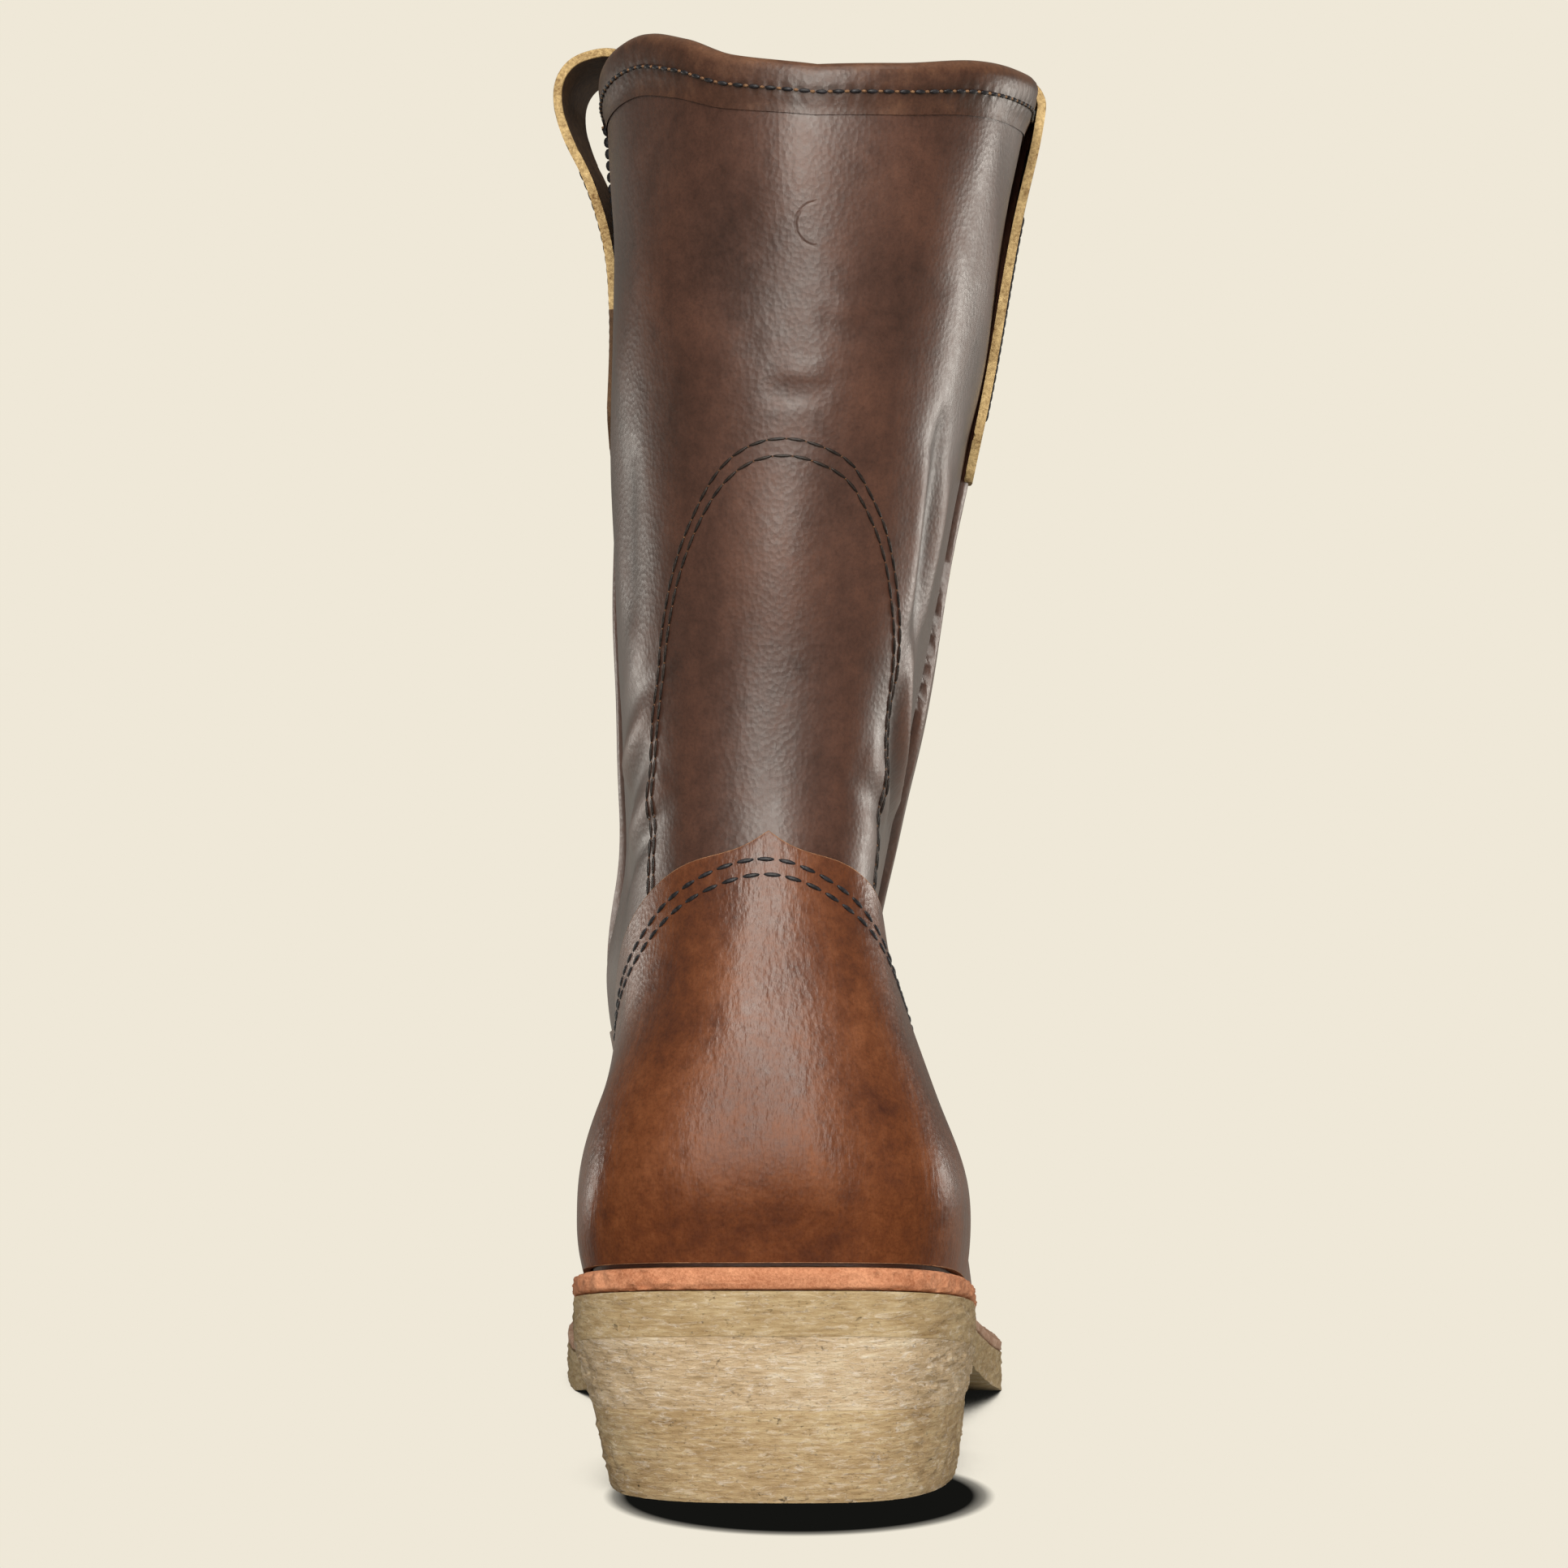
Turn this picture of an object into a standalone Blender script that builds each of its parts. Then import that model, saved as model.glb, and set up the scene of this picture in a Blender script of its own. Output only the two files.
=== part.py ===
"""Right pull-on work boot with a leather shaft and a crepe sole and heel.

Metres, +Z up, toe towards +Y, outer side of the foot towards +X.
The upper is one closed shell. Its sections fan out from the feather line of the
foot to the rim of the shaft, and every other piece is worked out from the same sections.
"""

import math

import bmesh
import bpy
import numpy as np

# Main sizes
LENGTH = 0.300  # outsole from heel to toe
BALL_WIDTH = 0.104  # outsole across the ball
HEIGHT = 0.300  # floor to the top of the pull straps

# Leather and crepe thicknesses
GAP = 0.0003  # left between two pieces that touch
OVERLAY_GAP = 0.0006  # left under the curved overlays
INSOLE_INSET = 0.0012  # left round the insole
WALL = 0.0024
OVERLAY = 0.0015
BINDING = 0.0010
STRAP = 0.0019
WELT = 0.0026
RAND = 0.0044
OUTSOLE = 0.0088
INSOLE_RISE = 0.0036  # insole top above the feather line

# Heel block
BREAST = 0.27  # front face of the heel, share of LENGTH
BREAST_CUT = 0.006  # the heel front leans forward by this much from floor to outsole
TOP_PIECE = 0.0178  # height of the lower block at the back
TOP_PIECE_SLOPE = 0.066  # fall of its upper face towards the toe
HEEL_TAPER = 0.0056  # how much smaller the heel is all round at the floor
HEEL_LEAN = 0.0018  # how far its foot is moved to the outer side

# Rim of the shaft
RIM_ROWS = 2.2  # rows over which the rise of the rim fades out
BINDING_ROWS = 0.31  # depth of the binding, in rows
ARCH_SHARE = 2 / 3  # share of the binding's grid that goes over the rim

# Pull straps
STRAP_HALF_ANGLE = 11.0  # half the width of a strap, degrees round the shaft
MEDIAL_STRAP_AT = 104.0
LATERAL_STRAP_AT = 264.0
CLIP = 0.0095  # height of the clipped corners
CLIP_FROM = 0.5  # share of the half width where the clip starts

# Overlay outlines, degrees from the heel centre
COUNTER_TOP_ANGLE = 60.0
COUNTER_FOOT_ANGLE = 66.0
OVERLAY_FOOT = 0.10  # lowest row of the overlays
PEAK = 0.28  # extra rows at the pointed peak of the counter
PEAK_ANGLE = 5.0

# One row per section of the upper: its back and front points as shares of LENGTH (y),
# HEIGHT (z) and BALL_WIDTH (x), how square its two ends are, and how far it sags to the sole
PATH_COLUMNS = ("back_y", "back_z", "front_y", "front_z", "back_x", "front_x", "back_n", "front_n", "sag")
PATH = (
    (0.0107, 0.1520, 0.9817, 0.0710, -0.0192, -0.1058, 4.70, 2.60, 1.00),
    (0.0077, 0.1800, 0.9867, 0.1067, -0.0212, -0.1058, 4.50, 2.60, 0.97),
    (0.0060, 0.2133, 0.9717, 0.1467, -0.0231, -0.1058, 4.10, 2.55, 0.88),
    (0.0110, 0.2533, 0.9133, 0.1800, -0.0250, -0.1010, 3.70, 2.45, 0.74),
    (0.0227, 0.2967, 0.8033, 0.2067, -0.0269, -0.0962, 3.30, 2.30, 0.56),
    (0.0360, 0.3433, 0.6867, 0.2433, -0.0288, -0.0865, 2.90, 2.20, 0.36),
    (0.0477, 0.3933, 0.5900, 0.2983, -0.0308, -0.0769, 2.60, 2.10, 0.18),
    (0.0543, 0.4467, 0.5200, 0.3800, -0.0288, -0.0577, 2.40, 2.05, 0.06),
    (0.0533, 0.5100, 0.4800, 0.4700, -0.0240, -0.0385, 2.30, 2.05, 0.00),
    (0.0483, 0.5833, 0.4617, 0.5600, -0.0144, -0.0192, 2.25, 2.10, 0.00),
    (0.0400, 0.6667, 0.4600, 0.6600, 0.0000, 0.0000, 2.20, 2.15, 0.00),
    (0.0283, 0.7533, 0.4667, 0.7633, 0.0240, 0.0240, 2.20, 2.20, 0.00),
    (0.0200, 0.8467, 0.4783, 0.8667, 0.0481, 0.0481, 2.20, 2.20, 0.00),
    (0.0167, 0.9367, 0.4900, 0.9500, 0.0625, 0.0769, 2.20, 2.20, 0.00),
)

# Side of each section at four stations from back to front, as shares of BALL_WIDTH
STATIONS = (0.12, 0.38, 0.66, 0.88)
MEDIAL = (
    (-0.359, -0.279, -0.442, -0.394),
    (-0.378, -0.308, -0.446, -0.399),
    (-0.379, -0.332, -0.436, -0.380),
    (-0.355, -0.335, -0.407, -0.312),
    (-0.314, -0.323, -0.365, -0.255),
    (-0.285, -0.337, -0.344, -0.192),
    (-0.274, -0.346, -0.347, -0.173),
    (-0.264, -0.315, -0.319, -0.183),
    (-0.260, -0.325, -0.321, -0.207),
    (-0.260, -0.337, -0.325, -0.221),
    (-0.262, -0.345, -0.320, -0.226),
    (-0.265, -0.346, -0.318, -0.228),
    (-0.255, -0.342, -0.318, -0.228),
    (-0.240, -0.362, -0.336, -0.235),
)
LATERAL = (
    (0.327, 0.358, 0.429, 0.288),
    (0.339, 0.358, 0.415, 0.290),
    (0.338, 0.337, 0.394, 0.264),
    (0.302, 0.296, 0.356, 0.192),
    (0.253, 0.250, 0.303, 0.130),
    (0.208, 0.192, 0.226, 0.077),
    (0.175, 0.165, 0.178, 0.048),
    (0.178, 0.198, 0.202, 0.077),
    (0.202, 0.248, 0.250, 0.125),
    (0.231, 0.290, 0.293, 0.163),
    (0.269, 0.338, 0.337, 0.221),
    (0.303, 0.396, 0.394, 0.279),
    (0.346, 0.444, 0.446, 0.327),
    (0.404, 0.500, 0.488, 0.365),
)
TOP_ROW = len(PATH) - 1

# Underside of the outsole: y and z as shares of LENGTH
TREAD = (
    (0.000, 0.1070),
    (0.130, 0.0865),
    (0.260, 0.0640),
    (0.400, 0.0375),
    (0.520, 0.0105),
    (0.600, 0.0000),
    (0.710, 0.0000),
    (0.800, 0.0045),
    (0.900, 0.0170),
    (1.000, 0.0330),
)

# Sole edge outside the feather line: y and overhang as shares of LENGTH
OVERHANG = (
    (0.000, 0.0107),
    (0.100, 0.0140),
    (0.380, 0.0170),
    (0.570, 0.0245),
    (0.680, 0.0195),
    (1.000, 0.0185),
)

# Top edge of the counter and of the vamp: degrees from the heel centre, row
COUNTER_TOP = ((0.0, 6.50), (15.0, 6.45), (30.0, 6.22), (45.0, 5.80), (60.0, 5.10), (70.0, 4.60))
VAMP_TOP = ((56.0, 4.75), (75.0, 4.95), (100.0, 5.25), (130.0, 5.95), (155.0, 6.75), (180.0, 7.30))

# Rise of the rim over its plain section: degrees from the heel centre, share of HEIGHT
RIM_MEDIAL = (
    (0.0, -0.0088),
    (20.0, 0.0000),
    (34.0, 0.0153),
    (50.0, 0.0255),
    (66.0, 0.0212),
    (88.0, 0.0125),
    (130.0, 0.0080),
    (180.0, 0.0),
)
RIM_LATERAL = ((0.0, -0.0088), (16.0, -0.0068), (36.0, 0.0003), (55.0, 0.0033), (95.0, 0.0105), (130.0, 0.0090), (180.0, 0.0))

# Centre line of a strap at the rim, in shares of HEIGHT: distance out from the shaft, height over the rim
MEDIAL_STRAP = (
    (-0.0137, -0.1533), (-0.0137, -0.0700), (-0.0163, -0.0400), (-0.0180, -0.0100), (-0.0180, 0.0160),
    (-0.0133, 0.0347), (-0.0013, 0.0407), (0.0140, 0.0397), (0.0290, 0.0330), (0.0372, 0.0205),
    (0.0383, 0.0043), (0.0327, -0.0190), (0.0243, -0.0407), (0.0173, -0.0640), (0.0120, -0.0873),
    (0.0083, -0.1107), (0.0065, -0.1340), (0.0060, -0.2507),
)
LATERAL_STRAP = (
    (-0.0137, -0.1533), (-0.0137, -0.0700), (-0.0163, -0.0400), (-0.0180, -0.0100), (-0.0150, 0.0067),
    (-0.0040, 0.0147), (0.0053, 0.0080), (0.0087, -0.0067), (0.0090, -0.0367), (0.0076, -0.0633),
    (0.0065, -0.0933), (0.0060, -0.2667),
)

# Mesh fineness: segments along and across each piece
GRID = {
    "upper": (46, 25),
    "counter": (20, 9),
    "vamp": (32, 11),
    "collar_binding": (46, 6),
    "pull_strap_medial": (4, 30),
    "pull_strap_lateral": (4, 24),
    "welt": (44, 2),
    "heel_rand": (20, 2),
    "insole": (36, 4),
    "outsole": (40, 4),
    "heel_lift": (12, 4),
    "heel_top_piece": (12, 4),
}
# Rows of the grid are closer over the toe: share of the way up, row
UPPER_ROWS = ((0.0, 0.0), (0.24, 2.2), (0.44, 4.4), (1.0, 13.0))
VAMP_ROWS = ((0.0, 0.0), (0.36, 2.2), (0.66, 4.4), (1.0, 7.3))

# Small numbers of the construction
STEP = 0.001  # radians or rows, for slopes
MERGE = 0.000001  # points closer than this are one
SHARP_ANGLE = 38.0  # edges over this angle are shaded sharp
STATION_ENDS = (0.03, 0.97)  # the sides keep their width ratio beyond these shares
TURN_SAMPLES = 721
STRAP_SAMPLES = 8  # per segment along a strap
STRAP_EVENNESS = 0.7  # share of the segments that go by length, the others by bend
STRAP_FADE = 4.0  # the strap leans with the shaft from this many thicknesses under the rim
SHAFT_ROWS = 5.0  # rows under the rim that a strap can reach
SHAFT_SAMPLES = 101
FOOT_ROWS = 0.6  # rows over which the foot of an overlay turns level
OVERLAY_PARTING = 1.2  # degrees between the counter and the vamp
TAPER_POWER = 0.8
BREAST_POWER = 4

# Name, base colour and roughness of each material
MATERIALS = (
    ("shaft_leather", (0.085, 0.035, 0.018), 0.45),
    ("counter_leather", (0.20, 0.075, 0.028), 0.5),
    ("strap_leather", (0.16, 0.07, 0.025), 0.6),
    ("rand_leather", (0.36, 0.09, 0.03), 0.6),
    ("insole_leather", (0.42, 0.28, 0.16), 0.7),
    ("crepe_rubber", (0.42, 0.31, 0.17), 0.85),
)


def spline_weights(knots, at):
    """Weights of a natural cubic spline, so that weights @ values runs through the knots."""
    knots = np.asarray(knots, float)
    count = len(knots)
    step = np.diff(knots)
    system = np.zeros((count, count))
    load = np.zeros((count, count))
    system[0, 0] = system[-1, -1] = 1.0
    for i in range(1, count - 1):
        system[i, i - 1 : i + 2] = step[i - 1], 2 * (step[i - 1] + step[i]), step[i]
        load[i, i - 1 : i + 2] = 6 / step[i - 1], -6 / step[i - 1] - 6 / step[i], 6 / step[i]
    bend = np.linalg.solve(system, load)
    at = np.asarray(at, float)
    cell = np.clip(np.searchsorted(knots, at) - 1, 0, count - 2)
    left = (knots[cell + 1] - at) / step[cell]
    eye = np.eye(count)
    left = left[:, None]
    right = 1 - left
    straight = left * eye[cell] + right * eye[cell + 1]
    curve = (left**3 - left) * bend[cell] + (right**3 - right) * bend[cell + 1]
    return straight + curve * (step[cell] ** 2)[:, None] / 6


def through(table, at):
    """Curve without overshoot through the two columns of a table."""
    x, y = np.array(table, float).T
    step, slope = np.diff(x), np.diff(y) / np.diff(x)
    tangent = np.zeros(len(x))
    tangent[0], tangent[-1] = slope[0], slope[-1]
    for i in range(1, len(x) - 1):
        if slope[i - 1] * slope[i] > 0:
            before, after = step[i] * 2 + step[i - 1], step[i] + step[i - 1] * 2
            tangent[i] = (before + after) / (before / slope[i - 1] + after / slope[i])
    at = np.clip(np.asarray(at, float), x[0], x[-1])
    cell = np.clip(np.searchsorted(x, at) - 1, 0, len(x) - 2)
    u = (at - x[cell]) / step[cell]
    return (
        y[cell] * (1 + 2 * u) * (1 - u) ** 2
        + tangent[cell] * step[cell] * u * (1 - u) ** 2
        + y[cell + 1] * u * u * (3 - 2 * u)
        + tangent[cell + 1] * step[cell] * u * u * (u - 1)
    )


def tread_height(y):
    """Underside of the outsole over the floor."""
    return through(TREAD, y / LENGTH) * LENGTH


def strip_thickness(y):
    """Rand at the heel, thinning to the welt in front of it."""
    share = np.clip((y / LENGTH) / BREAST, 0, 1)
    return RAND + (WELT - RAND) * share * share * (3 - 2 * share)


def sole_top(y):
    return tread_height(y) + OUTSOLE


def feather_height(y):
    """Height of the line where the upper meets the welt and the rand."""
    return sole_top(y) + GAP + strip_thickness(y) + GAP


def roundness(cosine, power):
    return np.maximum(1 - np.abs(cosine) ** power, 0) ** (1 / power)


def skin(angle, row):
    """Outer face of the upper. The angle runs from the heel centre (0) over the medial side to
    the toe (180 degrees) and back over the lateral side, and the row runs up the sections."""
    angle, row = np.broadcast_arrays(np.asarray(angle, float), np.asarray(row, float))
    shape = angle.shape
    angle, row = np.mod(angle.ravel(), 2 * math.pi), np.clip(row.ravel(), 0, TOP_ROW)
    rows = spline_weights(range(TOP_ROW + 1), row)
    path = dict(zip(PATH_COLUMNS, (rows @ np.array(PATH)).T))
    medial = angle <= math.pi
    turn = np.where(medial, angle, 2 * math.pi - angle)
    cosine = np.cos(turn)
    share = (1 - cosine) / 2
    back_y, front_y = path["back_y"] * LENGTH, path["front_y"] * LENGTH
    back_x, front_x = path["back_x"] * BALL_WIDTH, path["front_x"] * BALL_WIDTH
    y = back_y + (front_y - back_y) * share
    z = (path["back_z"] + (path["front_z"] - path["back_z"]) * share) * HEIGHT
    axis = back_x + (front_x - back_x) * share
    sides = np.where(medial[:, None], rows @ np.array(MEDIAL), rows @ np.array(LATERAL)) * BALL_WIDTH
    stations = np.array(STATIONS)
    lines = back_x[:, None] + (front_x - back_x)[:, None] * stations
    ends = np.where(stations[None] < 0.5, path["back_n"][:, None], path["front_n"][:, None])
    envelope = (sides - lines) / roundness(1 - 2 * stations[None], ends)
    weights = spline_weights(STATIONS, np.clip(share, *STATION_ENDS))
    power = np.where(share < 0.5, path["back_n"], path["front_n"])
    x = axis + (weights * envelope).sum(axis=1) * roundness(cosine, power)
    first = PATH[0]
    chord = first[1] + (first[3] - first[1]) * (y / LENGTH - first[0]) / (first[2] - first[0])
    z = z + path["sag"] * (feather_height(y) - chord * HEIGHT)
    fade = np.clip((row - TOP_ROW + RIM_ROWS) / RIM_ROWS, 0, 1) ** 2
    degrees = np.degrees(turn)
    rise = np.where(medial, through(RIM_MEDIAL, degrees), through(RIM_LATERAL, degrees))
    z = z + rise * HEIGHT * fade
    return np.stack([x, y, z], axis=1).reshape(shape + (3,))


def normal(angle, row):
    """Outward direction of the upper's outer face."""
    low, high = np.maximum(row - STEP, 0), np.minimum(row + STEP, TOP_ROW)
    across = skin(angle + STEP, row) - skin(angle - STEP, row)
    upward = skin(angle, high) - skin(angle, low)
    out = np.cross(upward, across)
    return out / np.linalg.norm(out, axis=-1, keepdims=True)


def skin_offset(angle, row, distance, keep_height=None):
    """Outer face moved out by a distance, with the height kept where keep_height is 1."""
    out = normal(angle, row) * np.asarray(distance)[..., None]
    if keep_height is not None:
        out[..., 2] *= 1 - keep_height
    return skin(angle, row) + out


def feather(angle, outward):
    """Plan of the feather line, moved outward."""
    point = skin(angle, 0.0)[..., :2]
    along = skin(angle + STEP, 0.0)[..., :2] - skin(angle - STEP, 0.0)[..., :2]
    out = np.stack([-along[..., 1], along[..., 0]], axis=-1)
    out /= np.linalg.norm(out, axis=-1, keepdims=True)
    return point + out * np.asarray(outward)[..., None]


def overhang(angle):
    y = skin(angle, 0.0)[..., 1]
    return through(OVERHANG, y / LENGTH) * LENGTH


def shell(name, place, material):
    """Solid made from a grid: place(a, b, depth) gives its inner face at depth 0 and its outer at 1."""
    columns, rows = GRID[name]
    mesh = bmesh.new()
    bmesh.ops.create_grid(mesh, x_segments=columns, y_segments=rows, size=0.5)
    grid = np.array([v.co[:2] for v in mesh.verts]) + 0.5
    ident = mesh.verts.layers.int.new("ident")
    inner, outer = (place(grid[:, 0], grid[:, 1], np.full(len(grid), depth)) for depth in (0.0, 1.0))
    for vert, point in zip(mesh.verts, inner):
        vert[ident] = vert.index
        vert.co = point
    bmesh.ops.remove_doubles(mesh, verts=mesh.verts[:], dist=MERGE)
    made = bmesh.ops.extrude_face_region(mesh, geom=mesh.faces[:], use_keep_orig=True)
    for vert in made["geom"]:
        if isinstance(vert, bmesh.types.BMVert):
            vert.co = outer[vert[ident]]
    bmesh.ops.recalc_face_normals(mesh, faces=mesh.faces[:])
    if mesh.calc_volume(signed=True) < 0:
        bmesh.ops.reverse_faces(mesh, faces=mesh.faces[:])
    mesh.verts.layers.int.remove(mesh.verts.layers.int["ident"])
    data = bpy.data.meshes.new(name)
    mesh.to_mesh(data)
    mesh.free()
    data.shade_smooth()
    data.set_sharp_from_angle(angle=math.radians(SHARP_ANGLE))
    data.materials.append(material)
    return bpy.data.objects.new(name, data)


def blend(a, b, share):
    return a + (b - a) * share


def full_turn(a):
    return a * 2 * math.pi


def angle_at(y_share, medial):
    """Angle round the feather line where it reaches a share of LENGTH."""
    turns = np.linspace(0, math.pi, TURN_SAMPLES)
    signed = turns if medial else 2 * math.pi - turns
    return float(np.interp(y_share * LENGTH, skin(signed, 0.0)[:, 1], turns))


def build_upper(material):
    def place(a, b, depth):
        angle, row = full_turn(a), through(UPPER_ROWS, b)
        ends = np.where((b <= 0) | (b >= 1), 1.0, 0.0)
        return skin_offset(angle, row, -WALL * (1 - depth), ends)

    return shell("upper", place, material)


def overlay_point(angle, row, depth):
    foot = np.clip(1 - (row - OVERLAY_FOOT) / FOOT_ROWS, 0, 1)
    return skin_offset(angle, row, OVERLAY_GAP + OVERLAY * depth, foot)


def build_counter(material):
    def place(a, b, depth):
        side = 2 * a - 1
        widest = blend(COUNTER_FOOT_ANGLE, COUNTER_TOP_ANGLE, b)
        degrees = side * widest
        top = through(COUNTER_TOP, np.abs(degrees)) + PEAK * np.exp(-np.abs(degrees) / PEAK_ANGLE)
        return overlay_point(np.radians(degrees), blend(OVERLAY_FOOT, top, b), depth)

    return shell("counter", place, material)


def build_vamp(material):
    def place(a, b, depth):
        side = 2 * a - 1
        start = blend(COUNTER_FOOT_ANGLE, COUNTER_TOP_ANGLE, b) + OVERLAY_PARTING
        degrees = 180 + side * (180 - start)
        turn = np.where(degrees > 180, 360 - degrees, degrees)
        top = through(VAMP_TOP, turn) / VAMP_ROWS[-1][1]
        return overlay_point(np.radians(degrees), OVERLAY_FOOT + through(VAMP_ROWS, b) * top, depth)

    return shell("vamp", place, material)


def build_binding(material):
    legs = (1 - ARCH_SHARE) / 2

    def place(a, b, depth):
        angle = full_turn(a)
        rim = np.full_like(angle, float(TOP_ROW))
        reach = WALL / 2 + GAP + BINDING * depth
        drop = np.clip(np.where(b < 0.5, 1 - b / legs, 1 - (1 - b) / legs), 0, 1) * BINDING_ROWS
        row = rim - drop
        over = np.clip((b - legs) / ARCH_SHARE, 0, 1) * math.pi
        out = normal(angle, row)
        up = np.cross(skin(angle + STEP, rim) - skin(angle - STEP, rim), out)
        up /= np.linalg.norm(up, axis=1, keepdims=True)
        outward, upward = reach * np.cos(over) - WALL / 2, reach * np.sin(over)
        return skin(angle, row) + out * outward[:, None] + up * upward[:, None]

    return shell("collar_binding", place, material)


def shaft_point(angle, drop, out):
    """Point on the shaft a height below the rim, or straight above it, moved outward."""
    rows = np.linspace(TOP_ROW - SHAFT_ROWS, TOP_ROW, SHAFT_SAMPLES)
    columns, index = np.unique(angle, return_inverse=True)
    result = np.zeros((len(angle), 3))
    for number, column in enumerate(columns):
        here = index == number
        heights = skin(np.full(len(rows), column), rows)[:, 2]
        row = np.interp(heights[-1] + np.minimum(drop[here], 0), heights, rows)
        turn = np.full(len(row), column)
        flat = normal(turn, row)
        flat[:, 2] *= np.clip(-drop[here] / (STRAP * STRAP_FADE), 0, 1)
        flat /= np.linalg.norm(flat, axis=1, keepdims=True)
        result[here] = skin(turn, row) + flat * out[here][:, None]
        result[here, 2] += np.maximum(drop[here], 0)
    return result


def build_strap(name, at, line, material):
    line = np.array(line) * HEIGHT
    steps = GRID[name][1]
    length = np.concatenate([[0], np.cumsum(np.linalg.norm(np.diff(line, axis=0), axis=1))])
    weights = spline_weights(length / length[-1], np.linspace(0, 1, steps * STRAP_SAMPLES + 1))
    fine = weights @ line
    along = np.gradient(fine, axis=0)
    along /= np.linalg.norm(along, axis=1, keepdims=True)
    side = np.stack([-along[:, 1], along[:, 0]], axis=1)
    bend = np.linalg.norm(np.gradient(along, axis=0), axis=1)
    spread = np.cumsum(bend + bend.mean() * STRAP_EVENNESS)
    spread = (spread - spread[0]) / (spread[-1] - spread[0])
    flat_end, tip = line[-2, 1], line[-1, 1]

    def place(a, b, depth):
        lane = 2 * a - 1
        pick = [np.interp(b, spread, column) for column in (*fine.T, *side.T)]
        away = (depth - 0.5) * STRAP
        out, height = pick[0] + pick[2] * away, pick[1] + pick[3] * away
        clip = CLIP * np.clip((np.abs(lane) - CLIP_FROM) / (1 - CLIP_FROM), 0, 1)
        on_leg = (b > 0.5) & (height < flat_end)
        shrink = (tip + clip - flat_end) / (tip - flat_end)
        height = np.where(on_leg, flat_end + (height - flat_end) * shrink, height)
        angle = np.radians(at + lane * STRAP_HALF_ANGLE)
        return shaft_point(angle, height, out)

    return shell(name, place, material)


def ladder(a, b, reach, turns):
    """Plan of a flat piece: rungs across the foot, from the heel (a = 0) towards the toe."""
    medial_turn = blend(turns[0], turns[1], a)
    lateral_turn = 2 * math.pi - medial_turn
    medial = feather(medial_turn, reach(medial_turn))
    lateral = feather(lateral_turn, reach(lateral_turn))
    return blend(medial, lateral, b[:, None])


def build_outsole(material):
    def place(a, b, depth):
        plan = ladder(a, b, overhang, (0, math.pi))
        level = tread_height(plan[:, 1]) + OUTSOLE * depth
        return np.column_stack([plan, level])

    return shell("outsole", place, material)


def build_insole(material):
    def inset(turn):
        return np.full(np.shape(turn), -(WALL + INSOLE_INSET))

    def place(a, b, depth):
        plan = ladder(a, b, inset, (0, math.pi))
        low, high = sole_top(plan[:, 1]) + GAP, feather_height(plan[:, 1]) + INSOLE_RISE
        return np.column_stack([plan, blend(low, high, depth)])

    return shell("insole", place, material)


def top_piece_height(y):
    return TOP_PIECE - TOP_PIECE_SLOPE * y


def floor_level(y):
    return np.zeros_like(y)


def lift_foot(y):
    return top_piece_height(y) + GAP


def lift_top(y):
    return tread_height(y) - GAP


def heel_layer(name, low, high, material):
    """One layer of the heel: its sides taper towards the floor and its front face leans."""
    back = np.array([0.0])
    full = tread_height(back)[0]
    front = angle_at(BREAST, True)

    def place(a, b, depth):
        level_at = high if depth[0] > 0 else low
        lowness = 1 - min(max(level_at(back)[0] / full, 0.0), 1.0)

        def reach(turn):
            return overhang(turn) - HEEL_TAPER * lowness**TAPER_POWER

        plan = ladder(a, b, reach, (0, front))
        plan[:, 1] -= BREAST_CUT * lowness * a**BREAST_POWER
        plan[:, 0] += HEEL_LEAN * lowness
        return np.column_stack([plan, level_at(plan[:, 1])])

    return shell(name, place, material)


def build_strip(name, turns, material):
    """Welt or rand: a strip that follows the feather line between the upper and the outsole."""

    def place(a, b, depth):
        angle = blend(turns[0], turns[1], a)
        edge = overhang(angle)
        plan = feather(angle, blend(edge, -WALL, b))
        base = sole_top(plan[:, 1]) + GAP
        return np.column_stack([plan, base + strip_thickness(plan[:, 1]) * depth])

    return shell(name, place, material)


def surface(name, colour, roughness):
    made = bpy.data.materials.new(name)
    made.use_nodes = True
    node = made.node_tree.nodes["Principled BSDF"]
    node.inputs["Base Color"].default_value = (*colour, 1)
    node.inputs["Roughness"].default_value = roughness
    return made


def build_boot():
    brown, tan, strap, rand, board, crepe = (surface(*row) for row in MATERIALS)
    medial, lateral = angle_at(BREAST, True), 2 * math.pi - angle_at(BREAST, False)
    joint = GAP / BALL_WIDTH
    return [
        build_upper(brown),
        build_vamp(tan),
        build_counter(tan),
        build_binding(brown),
        build_strap("pull_strap_medial", MEDIAL_STRAP_AT, MEDIAL_STRAP, strap),
        build_strap("pull_strap_lateral", LATERAL_STRAP_AT, LATERAL_STRAP, strap),
        build_strip("welt", (medial + joint, lateral - joint), rand),
        build_strip("heel_rand", (lateral - 2 * math.pi + joint, medial - joint), rand),
        build_insole(board),
        build_outsole(crepe),
        heel_layer("heel_lift", lift_foot, lift_top, crepe),
        heel_layer("heel_top_piece", floor_level, top_piece_height, crepe),
    ]


def main():
    for obj in list(bpy.data.objects):
        bpy.data.objects.remove(obj, do_unlink=True)
    boot = bpy.data.collections.new("pull_on_work_boot")
    bpy.context.scene.collection.children.link(boot)
    pieces = build_boot()
    corners = np.array([v.co[:] for piece in pieces for v in piece.data.vertices])
    low, high = corners.min(axis=0), corners.max(axis=0)
    centre = np.array([(low[0] + high[0]) / 2, (low[1] + high[1]) / 2, 0.0])
    for piece in pieces:
        boot.objects.link(piece)
        piece.location = -centre
    bpy.context.view_layer.update()


main()
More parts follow.
